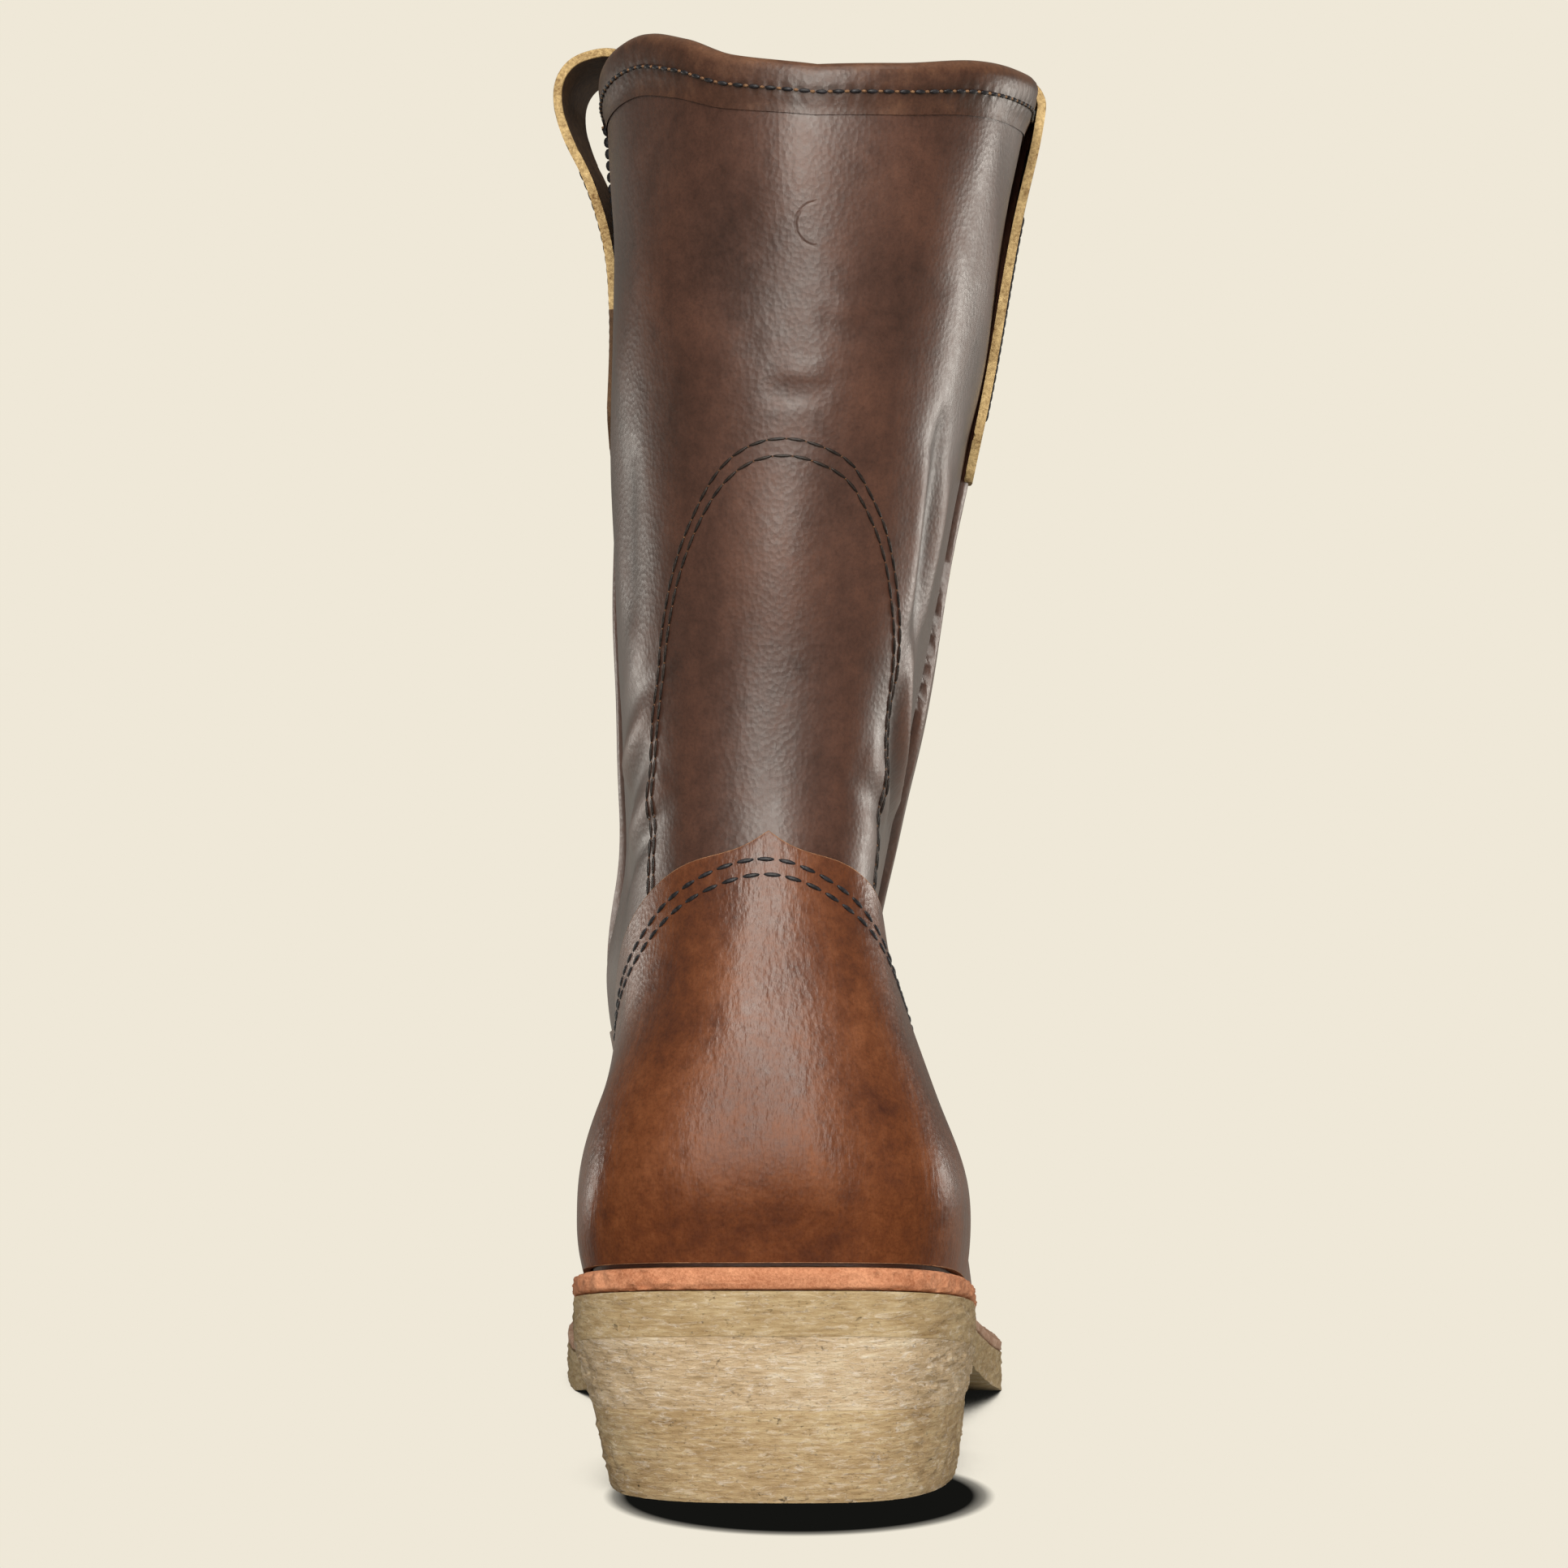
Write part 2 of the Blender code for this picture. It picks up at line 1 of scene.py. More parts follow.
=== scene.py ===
"""Right pull-on work boot on a pale studio floor, seen from straight behind its heel.

Every surface follows one last: an angle runs round the boot from the heel centre (0 degrees)
over the inner side to the toe (180), and a row runs up its sections from the feather line (0)
to the rim of the shaft (13). Lengths are metres unless a name says millimetres.
"""

from __future__ import annotations

import logging
import math
from dataclasses import dataclass
from enum import Enum
from typing import Callable, Sequence

import bmesh
import bpy
import numpy as np
from mathutils import Matrix, Vector

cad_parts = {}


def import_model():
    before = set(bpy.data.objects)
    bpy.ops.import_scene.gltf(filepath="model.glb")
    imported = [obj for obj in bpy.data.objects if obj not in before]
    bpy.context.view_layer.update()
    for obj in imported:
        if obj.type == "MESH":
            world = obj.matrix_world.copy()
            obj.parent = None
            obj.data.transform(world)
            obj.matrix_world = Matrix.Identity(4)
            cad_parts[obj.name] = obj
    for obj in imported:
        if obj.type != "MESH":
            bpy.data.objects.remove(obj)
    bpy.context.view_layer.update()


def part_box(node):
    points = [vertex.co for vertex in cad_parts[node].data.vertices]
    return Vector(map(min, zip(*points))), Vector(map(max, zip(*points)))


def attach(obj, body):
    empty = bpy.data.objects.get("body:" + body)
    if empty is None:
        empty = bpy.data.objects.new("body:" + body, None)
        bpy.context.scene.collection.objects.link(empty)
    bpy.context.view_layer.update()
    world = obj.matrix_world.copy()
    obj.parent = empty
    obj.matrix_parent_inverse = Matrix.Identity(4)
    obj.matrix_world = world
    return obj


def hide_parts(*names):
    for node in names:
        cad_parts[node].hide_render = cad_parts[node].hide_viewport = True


Points = np.ndarray
Table = Sequence[Sequence[float]]
Place = Callable[[Points, Points], Points]
DeepPlace = Callable[[Points, Points, float], Points]
Curve = Callable[[Points], Points]

LOG = logging.getLogger("boot")
MM = 0.001
MERGE = 0.000002  # points closer than this are one
STEP = 0.001  # radians or rows, for slopes


class Slot(Enum):
    """Material slots of the record."""

    SHAFT = "shaft_leather"
    COUNTER = "counter_leather"
    STRAP = "strap_leather"
    RAND = "rand_leather"
    INSOLE = "insole_leather"
    CREPE = "crepe_rubber"


def spline_weights(knots: Points, at: Points) -> Points:
    """Weights of a natural cubic spline.

    Args:
        knots: Places of the known values, rising.
        at: Places where the curve is wanted.

    Returns:
        One row of weights per place, so that weights @ values runs through the knots.
    """
    knots = np.asarray(knots, float)
    count = len(knots)
    step = np.diff(knots)
    system = np.zeros((count, count))
    load = np.zeros((count, count))
    system[0, 0] = system[-1, -1] = 1.0
    for i in range(1, count - 1):
        system[i, i - 1 : i + 2] = step[i - 1], 2 * (step[i - 1] + step[i]), step[i]
        load[i, i - 1 : i + 2] = 6 / step[i - 1], -6 / step[i - 1] - 6 / step[i], 6 / step[i]
    bend = np.linalg.solve(system, load)
    at = np.asarray(at, float)
    cell = np.clip(np.searchsorted(knots, at) - 1, 0, count - 2)
    left = (knots[cell + 1] - at) / step[cell]
    eye = np.eye(count)
    left = left[:, None]
    right = 1 - left
    straight = left * eye[cell] + right * eye[cell + 1]
    curve = (left**3 - left) * bend[cell] + (right**3 - right) * bend[cell + 1]
    return straight + curve * (step[cell] ** 2)[:, None] / 6


def through(table: Table, at: Points) -> Points:
    """Curve without overshoot through a table.

    Args:
        table: Rows of place and value.
        at: Places where the value is wanted.

    Returns:
        The values.
    """
    x, y = np.array(table, float).T
    step, slope = np.diff(x), np.diff(y) / np.diff(x)
    tangent = np.zeros(len(x))
    tangent[0], tangent[-1] = slope[0], slope[-1]
    for i in range(1, len(x) - 1):
        if slope[i - 1] * slope[i] > 0:
            before, after = step[i] * 2 + step[i - 1], step[i] + step[i - 1] * 2
            tangent[i] = (before + after) / (before / slope[i - 1] + after / slope[i])
    at = np.clip(np.asarray(at, float), x[0], x[-1])
    cell = np.clip(np.searchsorted(x, at) - 1, 0, len(x) - 2)
    u = (at - x[cell]) / step[cell]
    return (
        y[cell] * (1 + 2 * u) * (1 - u) ** 2
        + tangent[cell] * step[cell] * u * (1 - u) ** 2
        + y[cell + 1] * u * u * (3 - 2 * u)
        + tangent[cell + 1] * step[cell] * u * u * (u - 1)
    )


def smooth(value: Points) -> Points:
    """Soft step from 0 at 0 to 1 at 1."""
    value = np.clip(value, 0, 1)
    return value * value * (3 - 2 * value)


def ripple(points: Points, size: float, seed: int, waves: int = 14) -> Points:
    """Soft random relief from a sum of plane waves.

    Args:
        points: Places in metres, one row each.
        size: Length of the longest wave.
        seed: Seed of the directions and phases.
        waves: How many waves are added.

    Returns:
        Values of about -1 to 1.
    """
    source = np.random.default_rng(seed)
    total = np.zeros(len(points))
    for _ in range(waves):
        way = source.normal(size=3)
        way /= np.linalg.norm(way)
        length = size * source.uniform(0.35, 1.0)
        total += np.sin(points @ way * (2 * math.pi / length) + source.uniform(0, 2 * math.pi))
    return total / math.sqrt(waves)


@dataclass(frozen=True)
class Last:
    """Shape of the foot and shaft, with every line that the other pieces follow."""

    length: float = 0.300
    ball_width: float = 0.104
    height: float = 0.300
    gap: float = 0.0003
    overlay_gap: float = 0.0006
    wall: float = 0.0024
    overlay: float = 0.0015
    welt: float = 0.0026
    rand: float = 0.0044
    outsole: float = 0.0088
    breast: float = 0.27
    rim_rows: float = 2.2
    columns: tuple = (
        "back_y", "back_z", "front_y", "front_z", "back_x", "front_x", "back_n", "front_n", "sag")
    path: tuple = (
        (0.0107, 0.1520, 0.9817, 0.0710, -0.0192, -0.1058, 4.70, 2.60, 1.00),
        (0.0077, 0.1800, 0.9867, 0.1067, -0.0212, -0.1058, 4.50, 2.60, 0.97),
        (0.0060, 0.2133, 0.9717, 0.1467, -0.0231, -0.1058, 4.10, 2.55, 0.88),
        (0.0110, 0.2533, 0.9133, 0.1800, -0.0250, -0.1010, 3.70, 2.45, 0.74),
        (0.0227, 0.2967, 0.8033, 0.2067, -0.0269, -0.0962, 3.30, 2.30, 0.56),
        (0.0360, 0.3433, 0.6867, 0.2433, -0.0288, -0.0865, 2.90, 2.20, 0.36),
        (0.0477, 0.3933, 0.5900, 0.2983, -0.0308, -0.0769, 2.60, 2.10, 0.18),
        (0.0543, 0.4467, 0.5200, 0.3800, -0.0288, -0.0577, 2.40, 2.05, 0.06),
        (0.0533, 0.5100, 0.4800, 0.4700, -0.0240, -0.0385, 2.30, 2.05, 0.00),
        (0.0483, 0.5833, 0.4617, 0.5600, -0.0144, -0.0192, 2.25, 2.10, 0.00),
        (0.0400, 0.6667, 0.4600, 0.6600, 0.0000, 0.0000, 2.20, 2.15, 0.00),
        (0.0283, 0.7533, 0.4667, 0.7633, 0.0240, 0.0240, 2.20, 2.20, 0.00),
        (0.0200, 0.8467, 0.4783, 0.8667, 0.0481, 0.0481, 2.20, 2.20, 0.00),
        (0.0167, 0.9367, 0.4900, 0.9500, 0.0625, 0.0769, 2.20, 2.20, 0.00),
    )
    stations: tuple = (0.12, 0.38, 0.66, 0.88)
    station_ends: tuple = (0.03, 0.97)
    medial: tuple = (
        (-0.359, -0.279, -0.442, -0.394),
        (-0.378, -0.308, -0.446, -0.399),
        (-0.379, -0.332, -0.436, -0.380),
        (-0.355, -0.335, -0.407, -0.312),
        (-0.314, -0.323, -0.365, -0.255),
        (-0.285, -0.337, -0.344, -0.192),
        (-0.274, -0.346, -0.347, -0.173),
        (-0.264, -0.315, -0.319, -0.183),
        (-0.260, -0.325, -0.321, -0.207),
        (-0.260, -0.337, -0.325, -0.221),
        (-0.262, -0.345, -0.320, -0.226),
        (-0.265, -0.346, -0.318, -0.228),
        (-0.255, -0.342, -0.318, -0.228),
        (-0.240, -0.362, -0.336, -0.235),
    )
    lateral: tuple = (
        (0.327, 0.358, 0.429, 0.288),
        (0.339, 0.358, 0.415, 0.290),
        (0.338, 0.337, 0.394, 0.264),
        (0.302, 0.296, 0.356, 0.192),
        (0.253, 0.250, 0.303, 0.130),
        (0.208, 0.192, 0.226, 0.077),
        (0.175, 0.165, 0.178, 0.048),
        (0.178, 0.198, 0.202, 0.077),
        (0.202, 0.248, 0.250, 0.125),
        (0.231, 0.290, 0.293, 0.163),
        (0.269, 0.338, 0.337, 0.221),
        (0.303, 0.396, 0.394, 0.279),
        (0.346, 0.444, 0.446, 0.327),
        (0.404, 0.500, 0.488, 0.365),
    )
    tread: tuple = (
        (0.000, 0.1070),
        (0.130, 0.0865),
        (0.260, 0.0640),
        (0.400, 0.0375),
        (0.520, 0.0105),
        (0.600, 0.0000),
        (0.710, 0.0000),
        (0.800, 0.0045),
        (0.900, 0.0170),
        (1.000, 0.0330),
    )
    edge_out: tuple = (
        (0.000, 0.0107),
        (0.100, 0.0140),
        (0.380, 0.0170),
        (0.570, 0.0245),
        (0.680, 0.0195),
        (1.000, 0.0185),
    )
    rim_medial: tuple = (
        (0, -0.0088), (20, 0), (34, 0.0153), (50, 0.0255),
        (66, 0.0212), (88, 0.0125), (130, 0.0080), (180, 0))
    rim_lateral: tuple = (
        (0, -0.0088), (16, -0.0068), (36, 0.0003), (55, 0.0033), (95, 0.0105), (130, 0.0090), (180, 0))

    @property
    def top_row(self) -> int:
        """Row of the rim."""
        return len(self.path) - 1

    def tread_height(self, y: Points) -> Points:
        """Underside of the outsole over the floor."""
        return through(self.tread, np.asarray(y) / self.length) * self.length

    def strip_thickness(self, y: Points) -> Points:
        """Rand at the heel, thinning to the welt in front of it."""
        share = np.asarray(y) / self.length / self.breast
        return self.rand + (self.welt - self.rand) * smooth(share)

    def sole_top(self, y: Points) -> Points:
        """Upper face of the outsole."""
        return self.tread_height(y) + self.outsole

    def feather_height(self, y: Points) -> Points:
        """Height of the line where the upper meets the welt and the rand."""
        return self.sole_top(y) + self.gap * 2 + self.strip_thickness(y)

    def skin(self, angle: Points, row: Points) -> Points:
        """Outer face of the upper before its folds.

        Args:
            angle: Radians from the heel centre over the inner side.
            row: Row between the feather line and the rim.

        Returns:
            One point per angle and row.
        """
        angle, row = np.broadcast_arrays(np.asarray(angle, float), np.asarray(row, float))
        shape = angle.shape
        angle, row = np.mod(angle.ravel(), 2 * math.pi), np.clip(row.ravel(), 0, self.top_row)
        rows = spline_weights(np.arange(self.top_row + 1), row)
        path = dict(zip(self.columns, (rows @ np.array(self.path)).T))
        medial = angle <= math.pi
        turn = np.where(medial, angle, 2 * math.pi - angle)
        cosine = np.cos(turn)
        share = (1 - cosine) / 2
        back_y, front_y = path["back_y"] * self.length, path["front_y"] * self.length
        back_x, front_x = path["back_x"] * self.ball_width, path["front_x"] * self.ball_width
        y = back_y + (front_y - back_y) * share
        z = (path["back_z"] + (path["front_z"] - path["back_z"]) * share) * self.height
        axis = back_x + (front_x - back_x) * share
        widths = np.where(medial[:, None], rows @ np.array(self.medial), rows @ np.array(self.lateral))
        stations = np.array(self.stations)
        lines = back_x[:, None] + (front_x - back_x)[:, None] * stations
        ends = np.where(stations[None] < 0.5, path["back_n"][:, None], path["front_n"][:, None])
        round_at = np.maximum(1 - np.abs(1 - 2 * stations[None]) ** ends, 0) ** (1 / ends)
        envelope = (widths * self.ball_width - lines) / round_at
        weights = spline_weights(stations, np.clip(share, *self.station_ends))
        power = np.where(share < 0.5, path["back_n"], path["front_n"])
        bow = np.maximum(1 - np.abs(cosine) ** power, 0) ** (1 / power)
        x = axis + (weights * envelope).sum(axis=1) * bow
        first = self.path[0]
        chord = first[1] + (first[3] - first[1]) * (y / self.length - first[0]) / (first[2] - first[0])
        z = z + path["sag"] * (self.feather_height(y) - chord * self.height)
        fade = np.clip((row - self.top_row + self.rim_rows) / self.rim_rows, 0, 1) ** 2
        degrees = np.degrees(turn)
        rise = np.where(medial, through(self.rim_medial, degrees), through(self.rim_lateral, degrees))
        z = z + rise * self.height * fade
        return np.stack([x, y, z], axis=1).reshape(shape + (3,))

    def normal(self, angle: Points, row: Points) -> Points:
        """Outward direction of the upper's outer face.

        Args:
            angle: Radians from the heel centre.
            row: Row between the feather line and the rim.

        Returns:
            Unit vectors.
        """
        low, high = np.maximum(row - STEP, 0), np.minimum(row + STEP, self.top_row)
        across = self.skin(angle + STEP, row) - self.skin(angle - STEP, row)
        upward = self.skin(angle, high) - self.skin(angle, low)
        out = np.cross(upward, across)
        return out / np.linalg.norm(out, axis=-1, keepdims=True)

    def feather(self, angle: Points, outward: Points) -> Points:
        """Plan of the feather line, moved outward.

        Args:
            angle: Radians from the heel centre.
            outward: Distance outward from the line.

        Returns:
            Places in plan.
        """
        angle = np.asarray(angle, float)
        point = self.skin(angle, 0.0)[..., :2]
        along = self.skin(angle + STEP, 0.0)[..., :2] - self.skin(angle - STEP, 0.0)[..., :2]
        out = np.stack([-along[..., 1], along[..., 0]], axis=-1)
        out /= np.linalg.norm(out, axis=-1, keepdims=True)
        return point + out * np.asarray(outward)[..., None]

    def overhang(self, angle: Points) -> Points:
        """How far the sole edge stands outside the feather line."""
        y = self.skin(angle, 0.0)[..., 1]
        return through(self.edge_out, y / self.length) * self.length

    def angle_at(self, y_share: float, medial: bool) -> float:
        """Turn from the heel centre where the feather line reaches a share of the length.

        Args:
            y_share: Share of the boot's length.
            medial: Whether the inner side is meant.

        Returns:
            Radians.
        """
        turns = np.linspace(0, math.pi, 721)
        signed = turns if medial else 2 * math.pi - turns
        return float(np.interp(y_share * self.length, self.skin(signed, 0.0)[:, 1], turns))

    def trace(self, line: Table, spacing: float) -> tuple[Points, Points, Points]:
        """Curve on the skin through points given in degrees and rows.

        Args:
            line: Rows of degrees from the heel centre and row.
            spacing: Distance between the traced points.

        Returns:
            Angles, rows and places of evenly spaced points.
        """
        given = np.array(line, float)
        spots = self.skin(np.radians(given[:, 0]), given[:, 1])
        reach = np.concatenate([[0], np.cumsum(np.linalg.norm(np.diff(spots, axis=0), axis=1))])
        fine = spline_weights(reach, np.linspace(0, reach[-1], 8 * len(given) + 17)) @ given
        spots = self.skin(np.radians(fine[:, 0]), fine[:, 1])
        reach = np.concatenate([[0], np.cumsum(np.linalg.norm(np.diff(spots, axis=0), axis=1))])
        count = max(int(round(reach[-1] / spacing)), 2)
        even = np.linspace(0, reach[-1], count + 1)
        angle = np.radians(np.interp(even, reach, fine[:, 0]))
        row = np.interp(even, reach, fine[:, 1])
        return angle, row, self.skin(angle, row)


@dataclass(frozen=True)
class Fold:
    """Soft trough or ridge that life has pressed into the leather."""

    line: tuple
    width_mm: float
    height_mm: float


@dataclass(frozen=True)
class Relief:
    """Everything that moves the leather off the plain last: folds, seams and gentle waves."""

    last: Last
    folds: tuple = (
        Fold(((-3.5, 11.19), (-9, 11.12), (-17.5, 11.15)), 1.3, -0.55),
        Fold(((-6, 11.28), (-12, 11.24), (-16, 11.26)), 1.5, 0.35),
        Fold(((6.5, 10.70), (-1, 10.66), (-9.8, 10.74)), 1.3, -0.55),
        Fold(((3.5, 10.82), (-4, 10.78), (-8, 10.86)), 1.6, 0.35),
        Fold(((14, 11.02), (6, 10.98)), 1.4, -0.25),
        Fold(((-20, 11.6), (-30, 11.45), (-42, 11.5)), 2.2, -0.35),
        Fold(((-46, 10.6), (-48, 10.19), (-50.5, 9.4), (-51.9, 8.82)), 4.2, -1.7),
        Fold(((-40, 10.3), (-42, 9.6), (-44, 8.9)), 4.0, 0.7),
        Fold(((-58, 10.2), (-60, 9.5), (-60, 8.9)), 4.0, 0.9),
        Fold(((-50.5, 8.76), (-52.7, 8.32), (-57.8, 7.90), (-85, 7.52)), 3.2, 2.0),
        Fold(((-44, 8.45), (-47, 8.05), (-56, 7.66), (-84, 7.28)), 2.8, -1.3),
        Fold(((-60, 8.45), (-66, 8.15), (-84, 7.86)), 2.8, -1.0),
        Fold(((-30, 7.75), (-42, 7.55), (-60, 7.18)), 3.6, 0.7),
        Fold(((-22, 7.45), (-38, 7.22), (-58, 6.86)), 3.0, -0.6),
        Fold(((34, 8.6), (48, 8.35), (74, 8.05)), 3.6, -0.7),
        Fold(((38, 8.2), (52, 7.95), (78, 7.66)), 3.2, 0.8),
        Fold(((40, 7.75), (56, 7.5), (82, 7.3)), 3.0, -1.0),
        Fold(((30, 7.45), (46, 7.2), (78, 6.95)), 3.4, 0.8),
        Fold(((26, 7.15), (42, 6.9), (70, 6.6)), 2.8, -0.6),
        Fold(((50, 10.4), (54, 9.6), (52, 8.9)), 5.0, -0.7),
        Fold(((118, 7.9), (150, 7.4), (180, 7.1), (212, 7.4), (244, 7.9)), 4.6, -2.0),
        Fold(((112, 8.7), (150, 8.3), (180, 8.1), (210, 8.3), (248, 8.7)), 5.0, 1.4),
        Fold(((120, 6.9), (150, 6.3), (180, 6.0), (210, 6.3), (240, 6.9)), 4.6, 1.2),
        Fold(((118, 4.3), (150, 4.25), (180, 4.2), (210, 4.25), (238, 4.3)), 3.6, -1.1),
        Fold(((122, 4.75), (150, 4.72), (180, 4.7), (210, 4.72), (236, 4.75)), 3.8, 0.8),
        Fold(((126, 3.6), (150, 3.55), (180, 3.5), (208, 3.55), (232, 3.6)), 3.4, -0.8),
    )
    seams: tuple = (
        ((-91, 13.0), (-91.5, 11.4), (-91.7, 10.42), (-91.0, 9.6), (-88.5, 9.0), (-84, 8.3),
         (-86, 7.6), (-91, 7.1), (-92, 5.6)),
        ((92, 13.0), (92.5, 11.4), (93, 9.6), (93, 8.4), (93.4, 7.17), (94, 5.6)),
    )
    seam_depth_mm: float = 1.6
    seam_width_mm: float = 1.0
    front_lift_mm: float = 1.4
    wave_mm: float = 0.35

    def groove(self, points: Points, line: Table, width: float) -> Points:
        """How strongly each point lies in a line's soft trough, tapering at its ends.

        Args:
            points: Places.
            line: Degrees and rows.
            width: Half width of the trough.

        Returns:
            Strength from 0 to 1.
        """
        _, _, spots = self.last.trace(line, 1.2 * MM)
        low, high = spots.min(axis=0) - 3 * width, spots.max(axis=0) + 3 * width
        near = np.flatnonzero(((points > low) & (points < high)).all(axis=1))
        strength = np.zeros(len(points))
        if not len(near):
            return strength
        close = np.full(len(near), np.inf)
        place = np.zeros(len(near))
        for number, spot in enumerate(spots):
            distance = ((points[near] - spot) ** 2).sum(axis=1)
            better = distance < close
            close[better] = distance[better]
            place[better] = number / (len(spots) - 1)
        taper = np.clip(4 * place * (1 - place), 0, 1) ** 0.6
        strength[near] = np.exp(-close / width**2) * taper
        return strength

    def seam_turn(self, line: Table, row: Points) -> Points:
        """Angle of a seam at each row."""
        table = sorted((float(r), math.radians(d)) for d, r in line)
        return through(table, row)

    def at(self, angle: Points, row: Points) -> Points:
        """Distance that the leather is moved outward.

        Args:
            angle: Radians from the heel centre.
            row: Row of each point.

        Returns:
            Metres, outward positive.
        """
        points = self.last.skin(angle, row)
        moved = ripple(points, 0.06, 11) * self.wave_mm
        for fold in self.folds:
            moved = moved + self.groove(points, fold.line, fold.width_mm * MM) * fold.height_mm
        signed = np.where(angle > math.pi, angle - 2 * math.pi, angle)
        radius = 38.0
        for line in self.seams:
            side = 1.0 if line[0][0] > 0 else -1.0
            past = (signed - self.seam_turn(line, row)) * side * radius
            past = np.where(signed * side > 0, past, -radius)
            lift = smooth(past / 1.2) * smooth((30.0 - past) / 24.0) * smooth((row - 5.6) / 1.2)
            moved = moved + lift * self.front_lift_mm
            cut = np.exp(-((past / self.seam_width_mm) ** 2)) * self.seam_depth_mm
            moved = moved - cut * smooth((row - 5.4) / 0.6) * smooth((12.5 - row) / 0.6)
        return moved * MM


def as_grid(mesh: bmesh.types.BMesh) -> Points:
    """Places of a new unit grid's points as shares from 0 to 1."""
    return np.array([vert.co[:2] for vert in mesh.verts]) + 0.5


def finished(mesh: bmesh.types.BMesh, name: str, shift: Vector, sharp: float = 40.0) -> bpy.types.Object:
    """Turns a mesh in the boot's own sizes into a linked, smooth piece.

    Args:
        mesh: Mesh, which is freed.
        name: Name of the piece.
        shift: Move from the boot's own sizes to the frame.
        sharp: Edges over this many degrees are shaded sharp.

    Returns:
        The new object.
    """
    bmesh.ops.recalc_face_normals(mesh, faces=mesh.faces[:])
    if mesh.calc_volume(signed=True) < 0:
        bmesh.ops.reverse_faces(mesh, faces=mesh.faces[:])
    bmesh.ops.translate(mesh, vec=shift, verts=mesh.verts[:])
    data = bpy.data.meshes.new(name)
    mesh.to_mesh(data)
    mesh.free()
    data.shade_smooth()
    data.set_sharp_from_angle(angle=math.radians(sharp))
    piece = bpy.data.objects.new(name, data)
    bpy.context.scene.collection.objects.link(piece)
    return piece


def place_all(mesh: bmesh.types.BMesh, points: Points) -> None:
    """Moves each vertex to its place and keeps the fourth number as its tone.

    Args:
        mesh: Mesh that is worked on.
        points: Places.

    Returns:
        Nothing.
    """
    tone = mesh.verts.layers.float.new("tone")
    for vert, point in zip(mesh.verts, points):
        vert.co = point[:3]
        vert[tone] = point[3]


def sleeve(columns: int, rows: int, place: Place) -> bmesh.types.BMesh:
    """Closed skin from a grid whose first and last columns meet.

    Args:
        columns: Segments round.
        rows: Segments along.
        place: Gives x, y, z and tone at shares round and along.

    Returns:
        The closed mesh.
    """
    mesh = bmesh.new()
    bmesh.ops.create_grid(mesh, x_segments=columns, y_segments=rows, size=0.5)
    grid = as_grid(mesh)
    place_all(mesh, place(grid[:, 0], grid[:, 1]))
    bmesh.ops.remove_doubles(mesh, verts=mesh.verts[:], dist=MERGE)
    loose = [edge for edge in mesh.edges if edge.is_boundary]
    if loose:
        bmesh.ops.holes_fill(mesh, edges=loose)
    return mesh


def slab(columns: int, rows: int, place: DeepPlace, round_mm: float) -> bmesh.types.BMesh:
    """Sheet of leather with a cut edge, which gets the second material.

    Args:
        columns: Segments across.
        rows: Segments along.
        place: Gives x, y, z and tone at shares across and along, and a depth of 0 or 1.
        round_mm: Rounding of the cut edge.

    Returns:
        The closed mesh.
    """
    mesh = bmesh.new()
    bmesh.ops.create_grid(mesh, x_segments=columns, y_segments=rows, size=0.5)
    grid = as_grid(mesh)
    ident = mesh.verts.layers.int.new("ident")
    place_all(mesh, place(grid[:, 0], grid[:, 1], 0.0))
    for number, vert in enumerate(mesh.verts):
        vert[ident] = number
    outer = place(grid[:, 0], grid[:, 1], 1.0)
    bmesh.ops.remove_doubles(mesh, verts=mesh.verts[:], dist=MERGE)
    inner_faces = set(mesh.faces)
    made = bmesh.ops.extrude_face_region(mesh, geom=mesh.faces[:], use_keep_orig=True)
    outer_faces = {part for part in made["geom"] if isinstance(part, bmesh.types.BMFace)}
    tone = mesh.verts.layers.float["tone"]
    for vert in made["geom"]:
        if isinstance(vert, bmesh.types.BMVert):
            vert.co = outer[vert[ident]][:3]
            vert[tone] = outer[vert[ident]][3]
    cut = [face for face in mesh.faces if face not in inner_faces and face not in outer_faces]
    for face in cut:
        face.material_index = 1
    rims = {
        edge for face in cut for edge in face.edges
        if len({part.material_index for part in edge.link_faces}) > 1
    }
    if round_mm and rims:
        rounded = bmesh.ops.bevel(
            mesh, geom=list(rims), offset=round_mm * MM, offset_type="OFFSET", segments=2,
            profile=0.5, affect="EDGES", material=-1, clamp_overlap=True,
        )
        for face in rounded["faces"]:
            face.material_index = 1
    mesh.verts.layers.int.remove(mesh.verts.layers.int["ident"])
    return mesh


def linear(hexed: str) -> tuple[float, float, float, float]:
    """Linear colour with full alpha of an sRGB hex value."""
    parts = [int(hexed[i : i + 2], 16) / 255 for i in (1, 3, 5)]
    return (*[p / 12.92 if p <= 0.04045 else ((p + 0.055) / 1.055) ** 2.4 for p in parts], 1.0)


def add_node(
    tree: bpy.types.NodeTree, kind: str, links: dict | None = None, **settings: object
) -> bpy.types.Node:
    """Adds a node with its settings and links.

    Args:
        tree: Node tree that it goes into.
        kind: Blender's name of the node type.
        links: Input name or number to a value, or to the socket that feeds it.
        settings: Properties of the node.

    Returns:
        The node.
    """
    node = tree.nodes.new(kind)
    for key, value in settings.items():
        setattr(node, key, value)
    for key, value in (links or {}).items():
        if isinstance(value, bpy.types.NodeSocket):
            tree.links.new(value, node.inputs[key])
        else:
            node.inputs[key].default_value = value
    return node


